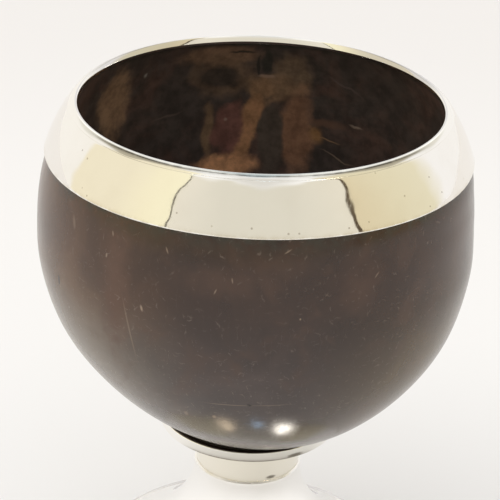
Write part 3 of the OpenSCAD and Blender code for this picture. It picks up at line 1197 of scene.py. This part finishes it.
@dataclass
class NutShell:
    """The nut: one wall with a polished outside, a stained inside, a cut mouth and a drilled hole."""

    curve: NutCurve = NutCurve()
    outside: OuterFinish = OuterFinish()
    inside: InnerFinish = InnerFinish()
    hole_r: float = 2.2
    lean: float = 2.6
    lean_power: float = 1.5
    lean_r: Span = (17.4, 24.5)
    ridge: float = 0.28
    ridge_r: Span = (17.4, 32.5)
    ridge_z: Span = (104.5, 90.5)
    ridges: tuple[Wave, ...] = (
        Wave(0.55, 3.0, 0.0, 0.9),
        Wave(0.3, 2.0, 1.0 / 30.0, -0.5),
        Wave(0.15, 7.0, 1.0 / 9.0, 0.0),
    )
    low_belly: float = 0.4
    low_belly_z: float = 67.0
    low_belly_reach: float = 8.0
    flat_right: float = 0.4
    flat_from: Span = (82.0, 94.0)
    flat_to: Span = (105.0, 99.0)
    turns: int = 360

    def rows(self) -> tuple[np.ndarray, int]:
        """Outline of the wall.

        Returns:
            Rows of radius and height, up the outside and down the inside, and how many lie outside.
        """
        nut, hole = self.curve, self.hole_r
        outside = outline(nut.base(hole, nut.belly_r, 0.0, 104), nut.shoulder(44)[1:])
        edge = lines([(float(nut.radius(nut.mouth_z)), nut.mouth_z), (nut.mouth_r, nut.mouth_z)], [4])[1:-1]
        inside = outline(nut.bowl(34), nut.base(nut.bowl_r, hole, -nut.wall, 46)[1:])
        bore = lines([(hole, nut.base_height(hole, -nut.wall)), (hole, nut.base_height(hole))], [5])[1:-1]
        return np.concatenate([outside, edge, inside, bore]), len(outside)

    def uneven(self, grid: np.ndarray) -> np.ndarray:
        """Natural form of the nut.

        Three soft ridges and a slow swell move the wall in and out between the two mounts. The sides
        swell below the belly by a bell curve of the height, and the right side is flatter above it. The
        base leans to +X by lean times (depth / base depth)^power, fading out in the seat.

        Args:
            grid: Turned points.

        Returns:
            The moved points.
        """
        nut = self.curve
        x, y, z = grid[..., 0], grid[..., 1], grid[..., 2]
        r, a = np.hypot(x, y), np.arctan2(x, -y)
        clear = smoothstep(*self.ridge_r, r)
        swell = self.ridge * clear * smoothstep(*self.ridge_z, z) * sum_waves(self.ridges, a, z)
        bell = np.exp(-(((z - self.low_belly_z) / self.low_belly_reach) ** 2))
        full = self.low_belly * clear * np.sin(a) ** 2 * bell
        middle = smoothstep(*self.flat_from, z) * smoothstep(*self.flat_to, z)
        flat = self.flat_right * np.clip(np.sin(a), 0.0, 1.0) * middle
        grow = 1.0 + (swell + full - flat) / np.maximum(r, 1.0)
        depth = np.clip((nut.belly_z - z) / nut.base_h, 0.0, 1.0)
        shift = self.lean * depth**self.lean_power * smoothstep(*self.lean_r, r)
        return np.stack([x * grow + shift, y * grow, z], -1)

    def build(self) -> None:
        """Makes the wall and gives its two sides their finishes."""
        points, outer_rows = self.rows()
        piece = ring_mesh("nut_wall", self.uneven(turned_grid(*columns(points), self.turns)))
        side = np.full((len(points), self.turns), Face.INSIDE.value, np.int32)
        side[: outer_rows - 1] = Face.OUTSIDE.value
        dress(piece, self.outside.material(), self.inside.material())
        piece.data.polygons.foreach_set("material_index", side.ravel())
        seat(piece, Slot.COCONUT, "nut_shell")


@dataclass
class RimMount:
    """The band raised to the nut's shoulder, its flush pins and the lip that caps the mouth."""

    curve: NutCurve = NutCurve()
    low_z: float = 106.3
    burnish_z: float = 107.3
    bed: float = 0.25
    sheet: float = 0.5
    edge_round: float = 0.42
    top_round: float = 0.1
    ripple: float = 0.035
    ripple_fade: Span = (1.6, 0.8)
    ripples: tuple[Wave, ...] = (
        Wave(0.45, 9.0, 0.28, 0.4),
        Wave(0.35, 17.0, -0.45, 1.7),
        Wave(0.3, 26.0, 0.7, 2.9),
        Wave(0.12, 47.0, -1.1, 0.8),
    )
    lip_h: float = 0.8
    lip_round_h: float = 0.72
    lip_chamfer: float = 0.02
    lip_waver: float = 0.03
    lip_waver_h: float = 0.3
    lip_waves: tuple[Wave, ...] = (Wave(1.0, 11.0, 0.0, 0.6), Wave(0.7, 23.0, 0.0, 2.0))
    back_rise: float = 0.9
    back_in: float = 0.3
    back_knee: float = 0.35
    back_turn: float = -175.0
    pin_count: int = 9
    pin_r: float = 0.4
    pin_core: float = 0.05
    pin_z: float = 108.3
    pin_start: float = -11.0
    pin_depth: float = 1.6
    pin_sunk: float = 0.03
    pin_dome: float = 2.2
    pin_dome_end: float = 88.0
    pin_turns: int = 24
    turns: int = 540
    band_finish: SilverFinish = SilverFinish(
        "band_silver",
        film=Film(106.6, 0.35),
        pits=tuple(
            Spot(centre, (size, size, size), (0.3, 0.25, 0.18), 0.6, 0.7)
            for centre, size in (
                ((-34.8, -25.8, 113.5), 0.2),
                ((-36.0, -23.2, 114.2), 0.17),
                ((-34.4, -30.6, 107.4), 0.18),
                ((-15.7, -42.4, 109.7), 0.17),
                ((-0.9, -45.7, 108.5), 0.2),
                ((6.3, -45.6, 107.6), 0.2),
                ((8.4, -45.3, 107.6), 0.18),
                ((18.2, -42.2, 107.8), 0.2),
                ((23.0, -34.2, 116.3), 0.2),
                ((29.3, -33.4, 111.3), 0.18),
                ((34.5, -26.8, 112.8), 0.18),
                ((34.9, -29.9, 107.7), 0.17),
                ((37.4, -25.7, 109.1), 0.2),
            )
        ),
    )
    lip_finish: SilverFinish = SilverFinish(
        "lip_silver",
        # A near-black line just under the top of the lip, at the front only.
        film=Film(117.32, 0.12, 0.0, 0.3, (0.06, 0.058, 0.055), 1.0, y=(-18.0, -30.0)),
        # Greyer patches of painted shade on the lip at the back left and back right.
        painted_shades=(
            Spot((-30.0, 27.0, 117.5), (15.0, 15.0, 5.0), (0.75, 0.735, 0.72), 1.0, 0.4),
            Spot((32.0, 25.0, 117.5), (15.0, 15.0, 5.0), (0.70, 0.685, 0.68), 1.0, 0.4),
        ),
    )
    pin_finish: SilverFinish = SilverFinish("pin_silver", bright=(0.80, 0.765, 0.69), film=Film(patches=0.4))

    @property
    def face(self) -> float:
        """Growth of the nut's outline to the outer face of the band."""
        return self.bed + self.sheet

    def rippled(self, a: np.ndarray, z: np.ndarray | float) -> np.ndarray:
        """Hand-raised ripple of the band: waves round and up it that fade out at both edges.

        Args:
            a: Angles in radians.
            z: Heights.

        Returns:
            The ripple as a growth of the nut's outline.
        """
        mouth, (low_fade, top_fade) = self.curve.mouth_z, self.ripple_fade
        held = smoothstep(self.low_z, self.low_z + low_fade, z) * smoothstep(mouth, mouth - top_fade, z)
        return self.ripple * held * sum_waves(self.ripples, a, z)

    def band(self) -> None:
        """The band: its outline as growths of the nut's outline, turned, with the outer face rippled."""
        nut, face, bed, low, top = self.curve, self.face, self.bed, self.low_z, self.curve.mouth_z
        soft, crisp = self.edge_round, self.top_round
        rows = outline(
            lines([(0.0, low), (face - soft, low)], [3]),
            arc((face - soft, low + soft), soft, (-90.0, 0.0), 8),
            lines([(face, low + soft), (face, top - crisp)], [56]),
            arc((face - crisp, top - crisp), crisp, (0.0, 90.0), 4),
            lines([(face - crisp, top), (bed, top), (bed, self.burnish_z)], [3, 20]),
            lines([(bed, self.burnish_z), (0.0, self.burnish_z), (0.0, low)], [2, 4]),
        )
        grow, z = columns(rows)
        grow = grow + np.isclose(grow, face) * self.rippled(ring_angles(self.turns), z)
        grid = turned_grid(nut.radius(z, grow), z, self.turns)
        fit("rim_band_sheet", grid, self.band_finish, Slot.SILVER, "rim_band")

    def lip(self) -> None:
        """The lip: a ring that leaves the band along its slope, levels off and turns down into the mouth.

        Its outside wavers a little, and at the back it stands higher and leans into the mouth.
        """
        nut, base, inner = self.curve, self.curve.mouth_z, self.curve.mouth_r
        top, spring = base + self.lip_h, base + self.lip_h - self.lip_round_h
        step = 0.1
        outer, below = (float(nut.radius(z, self.face)) for z in (base, base - step))
        slope = math.atan2(below - outer, step)
        sweep = self.lip_h / (1.0 - math.sin(slope))
        crest = outer - sweep * math.cos(slope)
        rows = outline(
            lines([(inner + self.lip_chamfer, base), (outer, base)], [6]),
            arc((crest, top - sweep), sweep, (math.degrees(slope), 90.0), 26),
            arc((crest, spring), crest - inner, (90.0, 180.0), 14, self.lip_round_h / (crest - inner)),
            lines([(inner, spring), (inner, base + self.lip_chamfer)], [3]),
        )
        r, z = columns(rows)
        a = ring_angles(self.turns)
        outside = smoothstep(crest, outer, r) * smoothstep(base, base + self.lip_waver_h, z)
        waver = self.lip_waver * outside * sunk_waves(self.lip_waves, a, z)
        upward = (z - base) / self.lip_h
        lifted = smoothstep(0.0, 1.0, np.cos(a - math.radians(self.back_turn)))
        knee = np.minimum(1.0, (1.0 - upward) / (1.0 - self.back_knee))
        overhang = self.back_in * lifted * knee * smoothstep(crest, inner, r)
        grid = turned_grid(r + waver - overhang, z + self.back_rise * lifted * upward, self.turns)
        fit("rim_lip_ring", grid, self.lip_finish, Slot.SILVER, "rim_lip")

    def pins(self) -> None:
        """The pins: rods square to the nut whose low domed heads follow the rippled band.

        A point is the head's centre plus its height along the rod and its radius times a unit circle.
        """
        nut, face, step = self.curve, self.face, 0.01
        around = np.radians(self.pin_start + np.arange(self.pin_count) * FULL_TURN / self.pin_count)
        fall = float(nut.radius(self.pin_z - step) - nut.radius(self.pin_z + step))
        tilt = math.atan2(fall, 2.0 * step)
        up = np.array((0.0, 0.0, 1.0))
        level = np.stack([np.sin(around), -np.cos(around), 0.0 * around], -1)
        side = np.stack([np.cos(around), np.sin(around), 0.0 * around], -1)
        out = math.cos(tilt) * level + math.sin(tilt) * up
        over = np.cross(out, side)
        head = float(nut.radius(self.pin_z, face)) + self.rippled(around, self.pin_z)
        centre = head[:, None] * level + self.pin_z * up
        end, rim, dome = -face - self.pin_depth, -self.pin_sunk, self.pin_dome
        start = math.degrees(math.atan2(dome, self.pin_r))
        rod = outline(
            lines([(self.pin_core, end), (self.pin_r, end), (self.pin_r, rim)], [3, 5]),
            arc((0.0, rim - dome), math.hypot(self.pin_r, dome), (start, self.pin_dome_end), 6),
        )
        t = np.linspace(0.0, 2.0 * math.pi, self.pin_turns, endpoint=False)[:, None]
        circle = np.cos(t) * side[:, None, None] + np.sin(t) * over[:, None, None]
        r, along = rod[:, :1, None], rod[:, 1:, None]
        grid = centre[:, None, None] + r * circle + along * out[:, None, None]
        fit("rim_pins", grid, self.pin_finish, Slot.PIN_SILVER, "band_pins", closed=False)

    def build(self) -> None:
        """Makes the band, the lip and the pins."""
        self.band()
        self.lip()
        self.pins()


@dataclass
class FootMount:
    """The saucer that takes the nut, the neck, the trumpet foot and its moulding."""

    curve: NutCurve = NutCurve()
    hole_r: float = 2.2
    seat_in: float = 0.5
    seat_out: float = 1.5
    flange_z: float = 39.9
    flange_t: float = 1.9
    flange_w: float = 1.9
    flange_round: float = 0.25
    flange_rise: float = 0.4
    pad_r: float = 6.0
    pad_z: float = 36.2
    neck_r: float = 11.9
    neck_bore: float = 10.5
    neck_round: float = 0.04
    foot_h: float = 29.4
    spigot_r: float = 11.4
    spigot_len: float = 3.0
    foot_top_r: float = 12.35
    filed_in: float = 0.42
    filed_h: float = 0.4
    sheet_r: float = 34.0
    foot_sheet: float = 0.9
    flare: float = 2.2
    overrun: float = 1.04
    foot_r: float = 35.5
    rim_t: float = 2.4
    rim_w: float = 4.0
    dent: float = 0.03
    dent_fade: float = 3.0
    dents: tuple[Wave, ...] = (Wave(1.0, 7.0, 0.3, 0.0), Wave(0.6, 13.0, -0.5, 1.0))
    turns: int = 320
    saucer_finish: SilverFinish = SilverFinish(
        "saucer_silver",
        # Painted shade: a dark line along the flange's lower edge, at the front only.
        film=Film(40.05, 0.33, 0.02, 0.25, (0.14, 0.115, 0.08), 0.95, y=(-13.0, -18.5)),
        # Painted shade: a darker patch over the front of the flange.
        painted_shades=(Spot((5.0, -21.0, 41.0), (17.0, 9.0, 4.0), (0.70, 0.68, 0.625), 1.0, 0.7),),
        pits=(Spot((10.6, -17.4, 40.5), (2.0, 1.6, 0.4), (0.12, 0.10, 0.07), 0.8, 0.5),),
    )
    neck_finish: SilverFinish = SilverFinish(
        "neck_silver",
        bright=(0.915, 0.875, 0.775),
        film=Film(29.5, 0.35, 0.06, 0.4, (0.62, 0.56, 0.43), 0.5, 0.2),
        pits=(Spot((5.5, -10.6, 30.2), (1.0, 1.5, 0.4), (0.12, 0.10, 0.07), 0.8, 0.5),),
    )
    foot_finish: SilverFinish = SilverFinish(
        "foot_silver",
        bright=(0.97, 0.955, 0.93),
        film=Film(29.2, 0.6, 0.04, 0.3, (0.66, 0.60, 0.47), 0.12, 0.25),
    )
    moulding_finish: SilverFinish = SilverFinish(
        "moulding_silver", bright=(0.80, 0.78, 0.755), film=Film(reach=0.4, patches=0.1)
    )

    def saucer(self) -> None:
        """The saucer: its inside and outside follow the nut's base, and the flange ends in a raised edge."""
        nut, low, top, soft = self.curve, self.flange_z, self.flange_z + self.flange_t, self.flange_round
        seat_r = float(nut.radius(top, self.seat_in))
        under_r = float(nut.radius(low, self.seat_out))
        edge, crest = seat_r + self.flange_w, top + self.flange_rise
        pad_top = nut.base_height(self.pad_r, self.seat_out)
        seat_low = nut.base_height(self.hole_r, self.seat_in)
        rows = outline(
            lines([(self.hole_r, self.pad_z), (self.pad_r, self.pad_z), (self.pad_r, pad_top)], [5, 3]),
            nut.base(self.pad_r, under_r, self.seat_out, 30),
            lines([(under_r, low), (edge - soft, low)], [6]),
            arc((edge - soft, low + soft), soft, (-90.0, 0.0), 10),
            lines([(edge, low + soft), (edge, crest - soft)], [6]),
            arc((edge - soft, crest - soft), soft, (0.0, 90.0), 10),
            lines([(edge - soft, crest), (seat_r, top)], [5]),
            nut.base(seat_r, self.hole_r, self.seat_in, 36),
            lines([(self.hole_r, seat_low), (self.hole_r, self.pad_z)], [4]),
        )
        fit("saucer", turned_grid(*columns(rows), self.turns), self.saucer_finish, Slot.SILVER, "seat_dish")

    def neck(self) -> None:
        """The neck: a plain drum mitred to the saucer, with a thin spigot below."""
        top_out, top_in = (self.curve.base_height(r, self.seat_out) for r in (self.neck_r, self.neck_bore))
        foot, low, soft = self.foot_h, self.foot_h - self.spigot_len, self.neck_round
        corner = self.neck_r - soft
        rows = outline(
            lines([(self.neck_bore, low), (self.spigot_r, low), (self.spigot_r, foot)], [3, 4]),
            lines([(self.spigot_r, foot), (corner, foot)], [3]),
            arc((corner, foot + soft), soft, (-90.0, 0.0), 4),
            lines([(self.neck_r, foot + soft), (self.neck_r, top_out)], [18]),
            lines([(self.neck_r, top_out), (self.neck_bore, top_in), (self.neck_bore, low)], [3, 12]),
        )
        fit("neck", turned_grid(*columns(rows), self.turns), self.neck_finish, Slot.SILVER, "neck_drum")

    def flare_rows(self, inset: float, count: int) -> np.ndarray:
        """Stretch of the foot's flare from its top to its moulding.

        The radius is top + spread times u^flare at height foot_h - drop times u, and inset moves the
        point square to that curve into the hollow. Outside, the top is filed in to the neck. The last
        points are cut level at the moulding.

        Args:
            inset: Distance into the hollow.
            count: Number of points.

        Returns:
            Rows of radius and height.
        """
        u = np.linspace(0.0, self.overrun, count)
        spread, drop = self.sheet_r - self.foot_top_r, self.foot_h - self.rim_t
        run = spread * self.flare * u ** (self.flare - 1.0)
        length = np.hypot(run, drop)
        r = self.foot_top_r + spread * u**self.flare - inset * drop / length
        z = self.foot_h - drop * u - inset * run / length
        if inset == 0.0:
            r = r - self.filed_in * smoothstep(self.foot_h - self.filed_h, self.foot_h, z)
        last = float(np.interp(-self.rim_t, -z, r))
        keep = z > self.rim_t + SAME_POINT
        return np.concatenate([np.stack([r[keep], z[keep]], -1), [[last, self.rim_t]]])

    def trumpet(self) -> None:
        """The trumpet foot: the flare inside and outside, with faint hammer dents on the outside."""
        outer, inner = self.flare_rows(0.0, 90), self.flare_rows(self.foot_sheet, 60)
        top, bottom = lines([outer[0], inner[0]], [4]), lines([inner[-1], outer[-1]], [4])
        r, z = columns(outline(outer[::-1], top, inner, bottom))
        outside = np.arange(len(r))[:, None] < len(outer)
        held = smoothstep(self.foot_h, self.foot_h - self.dent_fade, z)
        held = held * smoothstep(self.rim_t, self.rim_t + self.dent_fade, z)
        dents = self.dent * outside * held * sunk_waves(self.dents, ring_angles(self.turns), z)
        fit("trumpet", turned_grid(r + dents, z, self.turns), self.foot_finish, Slot.SILVER, "trumpet_foot")

    def moulding(self) -> None:
        """The moulding: a flat ring with a half-round outer edge."""
        half, inner = self.rim_t / 2.0, self.foot_r - self.rim_w
        reach = self.foot_r - half
        rows = outline(
            lines([(inner, 0.0), (reach, 0.0)], [6]),
            arc((reach, half), half, (-90.0, 90.0), 22),
            lines([(reach, self.rim_t), (inner, self.rim_t), (inner, 0.0)], [6, 5]),
        )
        grid = turned_grid(*columns(rows), self.turns)
        fit("foot_moulding", grid, self.moulding_finish, Slot.SILVER, "foot_rim")

    def build(self) -> None:
        """Makes the four pieces."""
        self.saucer()
        self.neck()
        self.trumpet()
        self.moulding()


@dataclass
class Fixing:
    """What draws the nut down on its saucer: boss, seal, stud, washer and nut, with the beds of pitch."""

    boss_r: float = 7.5
    boss_z: float = 42.5
    boss_edge: float = 0.8
    boss_dome: float = 2.4
    boss_dome_end: float = 89.6
    boss_turns: int = 160
    bore_r: float = 2.05
    bore_core: float = 0.1
    bore_depth: float = 2.0
    stud_r: float = 2.0
    stud_low: float = 30.7
    stud_top: float = 44.5
    stud_rows: int = 300
    stud_turns: int = 48
    pitch: float = 0.8
    thread: float = 0.36
    thread_power: float = 1.2
    taper: float = 0.35
    taper_low: float = 0.5
    taper_top: float = 0.3
    boss_finish: SilverFinish = SilverFinish("boss_silver", film=Film(42.5, 0.8, 0.5))
    stud_finish: BrassFinish = BrassFinish("stud_brass")

    def boss(self) -> None:
        """The boss: a blind bore, a flat underside, a short edge and a spherical dome."""
        low, rise, roof = self.boss_z, self.boss_z + self.boss_edge, self.boss_z + self.bore_depth
        ball = (self.boss_r**2 + self.boss_dome**2) / (2.0 * self.boss_dome)
        steep = math.degrees(math.acos(self.boss_r / ball))
        rows = outline(
            lines([(self.bore_core, roof), (self.bore_r, roof), (self.bore_r, low)], [4, 5]),
            lines([(self.bore_r, low), (self.boss_r, low), (self.boss_r, rise)], [8, 5]),
            arc((0.0, rise + self.boss_dome - ball), ball, (steep, self.boss_dome_end), 26),
        )
        grid = turned_grid(*columns(rows), self.boss_turns)
        fit("boss", grid, self.boss_finish, Slot.SILVER, "bowl_boss", closed=False)

    def stud(self) -> None:
        """The stud: a rod whose radius falls from crest to root and back once in each pitch along a helix."""
        z = np.linspace(self.stud_low, self.stud_top, self.stud_rows)[:, None]
        phase = (z / self.pitch - ring_angles(self.stud_turns) / (2.0 * math.pi)) % 1.0
        full = smoothstep(0.0, self.taper_low, z - self.stud_low)
        full = full * smoothstep(0.0, self.taper_top, self.stud_top - z)
        r = self.stud_r - self.thread * np.abs(2.0 * phase - 1.0) ** self.thread_power
        grid = turned_grid(r - self.taper * (1.0 - full), z, self.stud_turns)
        fit("threaded_stud", grid, self.stud_finish, Slot.BRASS, "fixing_stud", closed=False)

    def build(self, nodes: dict[str, bpy.types.Object]) -> None:
        """Makes the boss and the stud, and finishes the plain nodes that stay.

        Args:
            nodes: CAD nodes by name.
        """
        self.boss()
        self.stud()
        kept = {
            PitchFinish(): ("band_bed", "seat_bed"),
            LeatherFinish(): ("leather_seal",),
            BrassFinish(): ("stud_washer", "stud_nut"),
        }
        for finish, names in kept.items():
            material = finish.material()
            for name in names:
                dress(nodes[name], material)
                log.info("%s keeps its CAD shape in %s", name, material.name)


# Studio


@dataclass(frozen=True)
class Lamp:
    """A soft round light in the tent, by its direction and its half width in degrees.

    An echo is seen only where one shiny surface shows another.
    """

    azimuth: float
    elevation: float
    reach: float
    colour: Colour
    echo: bool = False
    soft: Span = (1.4, 0.6)

    @property
    def direction(self) -> Place:
        """Direction towards the lamp."""
        a, e = math.radians(self.azimuth), math.radians(self.elevation)
        return (math.sin(a) * math.cos(e), -math.cos(a) * math.cos(e), math.sin(e))

    def glow(self, tree: Tree, towards: Socket) -> Socket:
        """Share of the lamp's colour in a direction, falling off at its edge."""
        far, near = (math.cos(math.radians(self.reach * share)) for share in self.soft)
        return tree.span(tree.vector("DOT_PRODUCT", towards, self.direction), (far, near))


@dataclass(frozen=True)
class Rays:
    """Where the tent is seen: direction, angles round the cup and above level, and two shares.

    The shares say how far behind the cup a ray comes from, and how far up.
    """

    towards: Socket
    x: Socket
    y: Socket
    around: Socket
    height: Socket
    behind: Socket
    upper: Socket


@dataclass
class Studio:
    """Pale floor, a tent of soft light round it, and the camera."""

    floor_half: float = 1600.0
    floor_finish: FloorFinish = FloorFinish()
    backdrop: Colour = (0.92, 0.88, 0.85)
    panels: tuple[tuple[float, Colour], ...] = (
        (-180.0, (0.97, 0.94, 0.89)),
        (-111.0, (0.97, 0.94, 0.89)),
        (-108.5, (0.91, 0.835, 0.645)),
        (-78.0, (0.91, 0.835, 0.645)),
        (-60.0, (0.97, 0.90, 0.66)),
        (-46.4, (0.99, 0.93, 0.68)),
        (-44.6, (0.85, 0.80, 0.69)),
        (-20.0, (0.755, 0.72, 0.62)),
        (20.0, (0.755, 0.72, 0.62)),
        (52.0, (0.83, 0.78, 0.66)),
        (54.0, (0.76, 0.66, 0.45)),
        (80.0, (0.79, 0.72, 0.52)),
        (100.0, (0.81, 0.75, 0.56)),
        (112.0, (0.96, 0.94, 0.93)),
        (180.0, (0.98, 0.96, 0.93)),
    )
    gaps: tuple[tuple[float, float, Colour], ...] = (
        (-45.5, 0.45, (0.05, 0.04, 0.03)),
        (53.3, 1.1, (0.11, 0.08, 0.05)),
    )
    gap_soft: float = 0.2
    waver: float = 3.0
    waver_grain: Grain = Grain(1.0)
    waver_size: Span = (40.0, 9.0)
    behind_turn: Span = (120.0, 135.0)
    upper_height: Span = (34.0, 44.0)
    above: Colour = (1.0, 0.995, 0.985)
    above_height: Span = (44.0, 52.0)
    above_left: Colour = (2.3, 2.26, 2.2)
    above_left_x: Span = (-0.15, -0.4)
    above_side_turn: Span = (46.0, 56.0)
    above_side_rise: float = 18.0
    back_left: Colour = (2.0, 1.98, 1.96)
    back_right: Colour = (1.7, 1.69, 1.68)
    back_split: float = 1.0
    rear_white: Colour = (1.25, 1.25, 1.2)
    rear_shine: Colour = (0.79, 0.765, 0.69)
    rear_cream: Colour = (0.50, 0.455, 0.35)
    rear_white_x: Span = (0.24, 0.32)
    rear_y: Span = (0.0, 0.15)
    rear_height: Span = (22.0, 30.0)
    slit: Colour = (0.72, 0.82, 0.86)
    slit_x: Span = (0.09, 0.04)
    slit_y: Span = (-0.1, 0.1)
    slit_height: Span = (30.0, 36.0)
    echo_depth: float = 1.5
    lamps: tuple[Lamp, ...] = (
        Lamp(180.0, 21.0, 9.0, (0.78, 0.77, 0.79)),
        Lamp(0.0, 62.0, 14.0, (0.76, 0.74, 0.70)),
        Lamp(-37.0, 31.0, 7.0, (4.5, 3.7, 2.7), True),
        Lamp(6.0, 40.0, 5.0, (3.4, 5.0, 7.0), True),
        Lamp(43.0, 34.0, 8.0, (16.0, 15.2, 13.8), True),
    )
    focal_px: float = 1950.5
    frame_px: float = 500.0
    sensor: float = 36.0
    elevation: float = 24.87
    distance: float = 430.0
    roll: float = 2.25
    aim: Place = (0.0, 0.0, 86.6)
    aim_px: Point = (256.2, 232.1)
    clip: Span = (10.0, 20000.0)

    def floor(self) -> None:
        """A flat pale floor."""
        half = self.floor_half * MM
        mesh = bpy.data.meshes.new("floor")
        corners = [(-half, -half, 0.0), (half, -half, 0.0), (half, half, 0.0), (-half, half, 0.0)]
        mesh.from_pydata(corners, [], [(0, 1, 2, 3)])
        made = add("floor", mesh)
        dress(made, self.floor_finish.material())

    def rays(self, tree: Tree) -> Rays:
        """Finds where the tent is seen.

        Args:
            tree: The world's tree.

        Returns:
            The direction and what follows from it, with angles in degrees.
        """
        degree = math.degrees(1.0)
        towards = tree.node("TexCoord").outputs["Generated"]
        x, y, z = tree.axes(towards)
        around = tree.times(tree.math("ARCTAN2", x, tree.times(y, -1.0)), degree)
        height = tree.times(tree.math("ARCSINE", z), degree)
        behind = tree.span(tree.math("ABSOLUTE", around), self.behind_turn)
        return Rays(towards, x, y, around, height, behind, tree.span(height, self.upper_height))

    def wall(self, tree: Tree, rays: Rays) -> Socket:
        """Panels round the cup with dark gaps between some of them, whose edges waver.

        Args:
            tree: The world's tree.
            rays: Where the tent is seen.

        Returns:
            Colour of the wall.
        """
        sizes = zip((rays.around, rays.height), self.waver_size)
        grid = tree.joined(*(tree.math("DIVIDE", angle, size) for angle, size in sizes), 0.0)
        swayed = tree.plus(rays.around, tree.ragged(grid, self.waver_grain, self.waver))
        front_share = 0.5
        share = tree.plus(tree.math("DIVIDE", swayed, FULL_TURN), front_share)
        colour = tree.ramp(share, [(angle / FULL_TURN + front_share, tone) for angle, tone in self.panels])
        for centre, half, tone in self.gaps:
            edge = (half + self.gap_soft, half - self.gap_soft)
            colour = tree.mix(tree.span(tree.away(swayed, centre), edge), colour, tone)
        return colour

    def glow(self, tree: Tree, rays: Rays, wall: Socket) -> Socket:
        """What lights matt surfaces: the wall, brighter above on the left and behind.

        Args:
            tree: The world's tree.
            rays: Where the tent is seen.
            wall: Colour of the wall.

        Returns:
            Colour of the light.
        """
        split = self.back_split
        above = tree.mix(tree.span(rays.x, self.above_left_x), self.above, self.above_left)
        back = tree.mix(tree.span(rays.around, (-split, split)), self.back_left, self.back_right)
        reach = tree.greater(rays.upper, tree.span(rays.around, (split, -split)))
        colour = tree.mix(tree.span(rays.height, self.above_height), wall, above)
        return tree.mix(tree.times(rays.behind, reach), colour, back)

    def shine(self, tree: Tree, rays: Rays, wall: Socket, echoed: Socket) -> Socket:
        """What shiny surfaces show: the wall, white above, pale behind, with a slit and a few lamps.

        Args:
            tree: The world's tree.
            rays: Where the tent is seen.
            wall: Colour of the wall.
            echoed: 1 where one shiny surface shows another, and otherwise 0.

        Returns:
            Colour of the light.
        """
        wide, aside = tree.math("ABSOLUTE", rays.around), tree.math("ABSOLUTE", rays.x)
        rise = tree.span(wide, self.above_side_turn, (0.0, self.above_side_rise))
        colour = tree.mix(tree.span(tree.minus(rays.height, rise), self.above_height), wall, self.above)
        rear = tree.mix(rays.upper, self.rear_shine, self.rear_cream)
        rear = tree.mix(tree.span(aside, self.rear_white_x), self.rear_white, rear)
        rearward = tree.greater(rays.behind, tree.times(rays.upper, tree.span(rays.y, self.rear_y)))
        colour = tree.mix(tree.times(rearward, tree.span(rays.height, self.rear_height)), colour, rear)
        slit = tree.times(tree.span(aside, self.slit_x), tree.span(rays.y, self.slit_y))
        colour = tree.mix(tree.times(slit, tree.span(rays.height, self.slit_height)), colour, self.slit)
        for lamp in self.lamps:
            share = lamp.glow(tree, rays.towards)
            share = tree.times(share, echoed) if lamp.echo else share
            colour = tree.mix(share, colour, lamp.colour)
        return colour

    def light(self) -> None:
        """The tent: one light for matt surfaces, one for shiny ones and a plain backdrop."""
        world = bpy.data.worlds.new("tent")
        bpy.context.scene.world = world
        world.use_nodes = True
        world.node_tree.nodes.clear()
        tree = Tree(world.node_tree)
        path = tree.node("LightPath").outputs
        echoed = tree.math("GREATER_THAN", path["Glossy Depth"], self.echo_depth)
        rays = self.rays(tree)
        wall = self.wall(tree, rays)
        shine = self.shine(tree, rays, wall, echoed)
        colour = tree.mix(path["Is Glossy Ray"], self.glow(tree, rays, wall), shine)
        colour = tree.mix(path["Is Camera Ray"], colour, self.backdrop)
        shader = tree.node("Background", {"Color": colour, "Strength": 1.0})
        tree.node("OutputWorld", {"Surface": shader.outputs[0]})

    def camera(self) -> None:
        """A long lens whose axis is turned so that the belly's centre falls on its place in the picture."""
        e, roll = math.radians(self.elevation), math.radians(self.roll)
        ahead = Vector((0.0, math.cos(e), -math.sin(e)))
        level = Vector((1.0, 0.0, 0.0))
        over = level.cross(ahead)
        right = math.cos(roll) * level + math.sin(roll) * over
        up = math.cos(roll) * over - math.sin(roll) * level
        eye = (Vector(self.aim) - ahead * self.distance) * MM
        middle_px = self.frame_px / 2.0
        across = (self.aim_px[0] - middle_px) / self.focal_px
        upward = (middle_px - self.aim_px[1]) / self.focal_px
        look = (ahead - right * across - up * upward).normalized()
        right = (right - look * right.dot(look)).normalized()
        up = right.cross(look)
        data = bpy.data.cameras.new("camera")
        data.sensor_width = self.sensor
        data.lens = self.focal_px / self.frame_px * self.sensor
        data.clip_start, data.clip_end = (limit * MM for limit in self.clip)
        made = add("camera", data)
        turn = Matrix((right, up, -look)).transposed().to_4x4()
        made.matrix_world = Matrix.Translation(eye) @ turn
        bpy.context.scene.camera = made

    def build(self) -> None:
        """Makes the floor, the light and the camera."""
        self.floor()
        self.light()
        self.camera()
        bpy.context.scene.view_settings.view_transform = "Standard"


def main() -> None:
    """Builds the cup's sub-assemblies and the studio round them."""
    logging.basicConfig(level=logging.INFO, format="%(name)s: %(message)s")
    NutShell().build()
    RimMount().build()
    FootMount().build()
    Fixing().build(frame["nodes"])
    Studio().build()


if __name__ == "__main__":
    main()
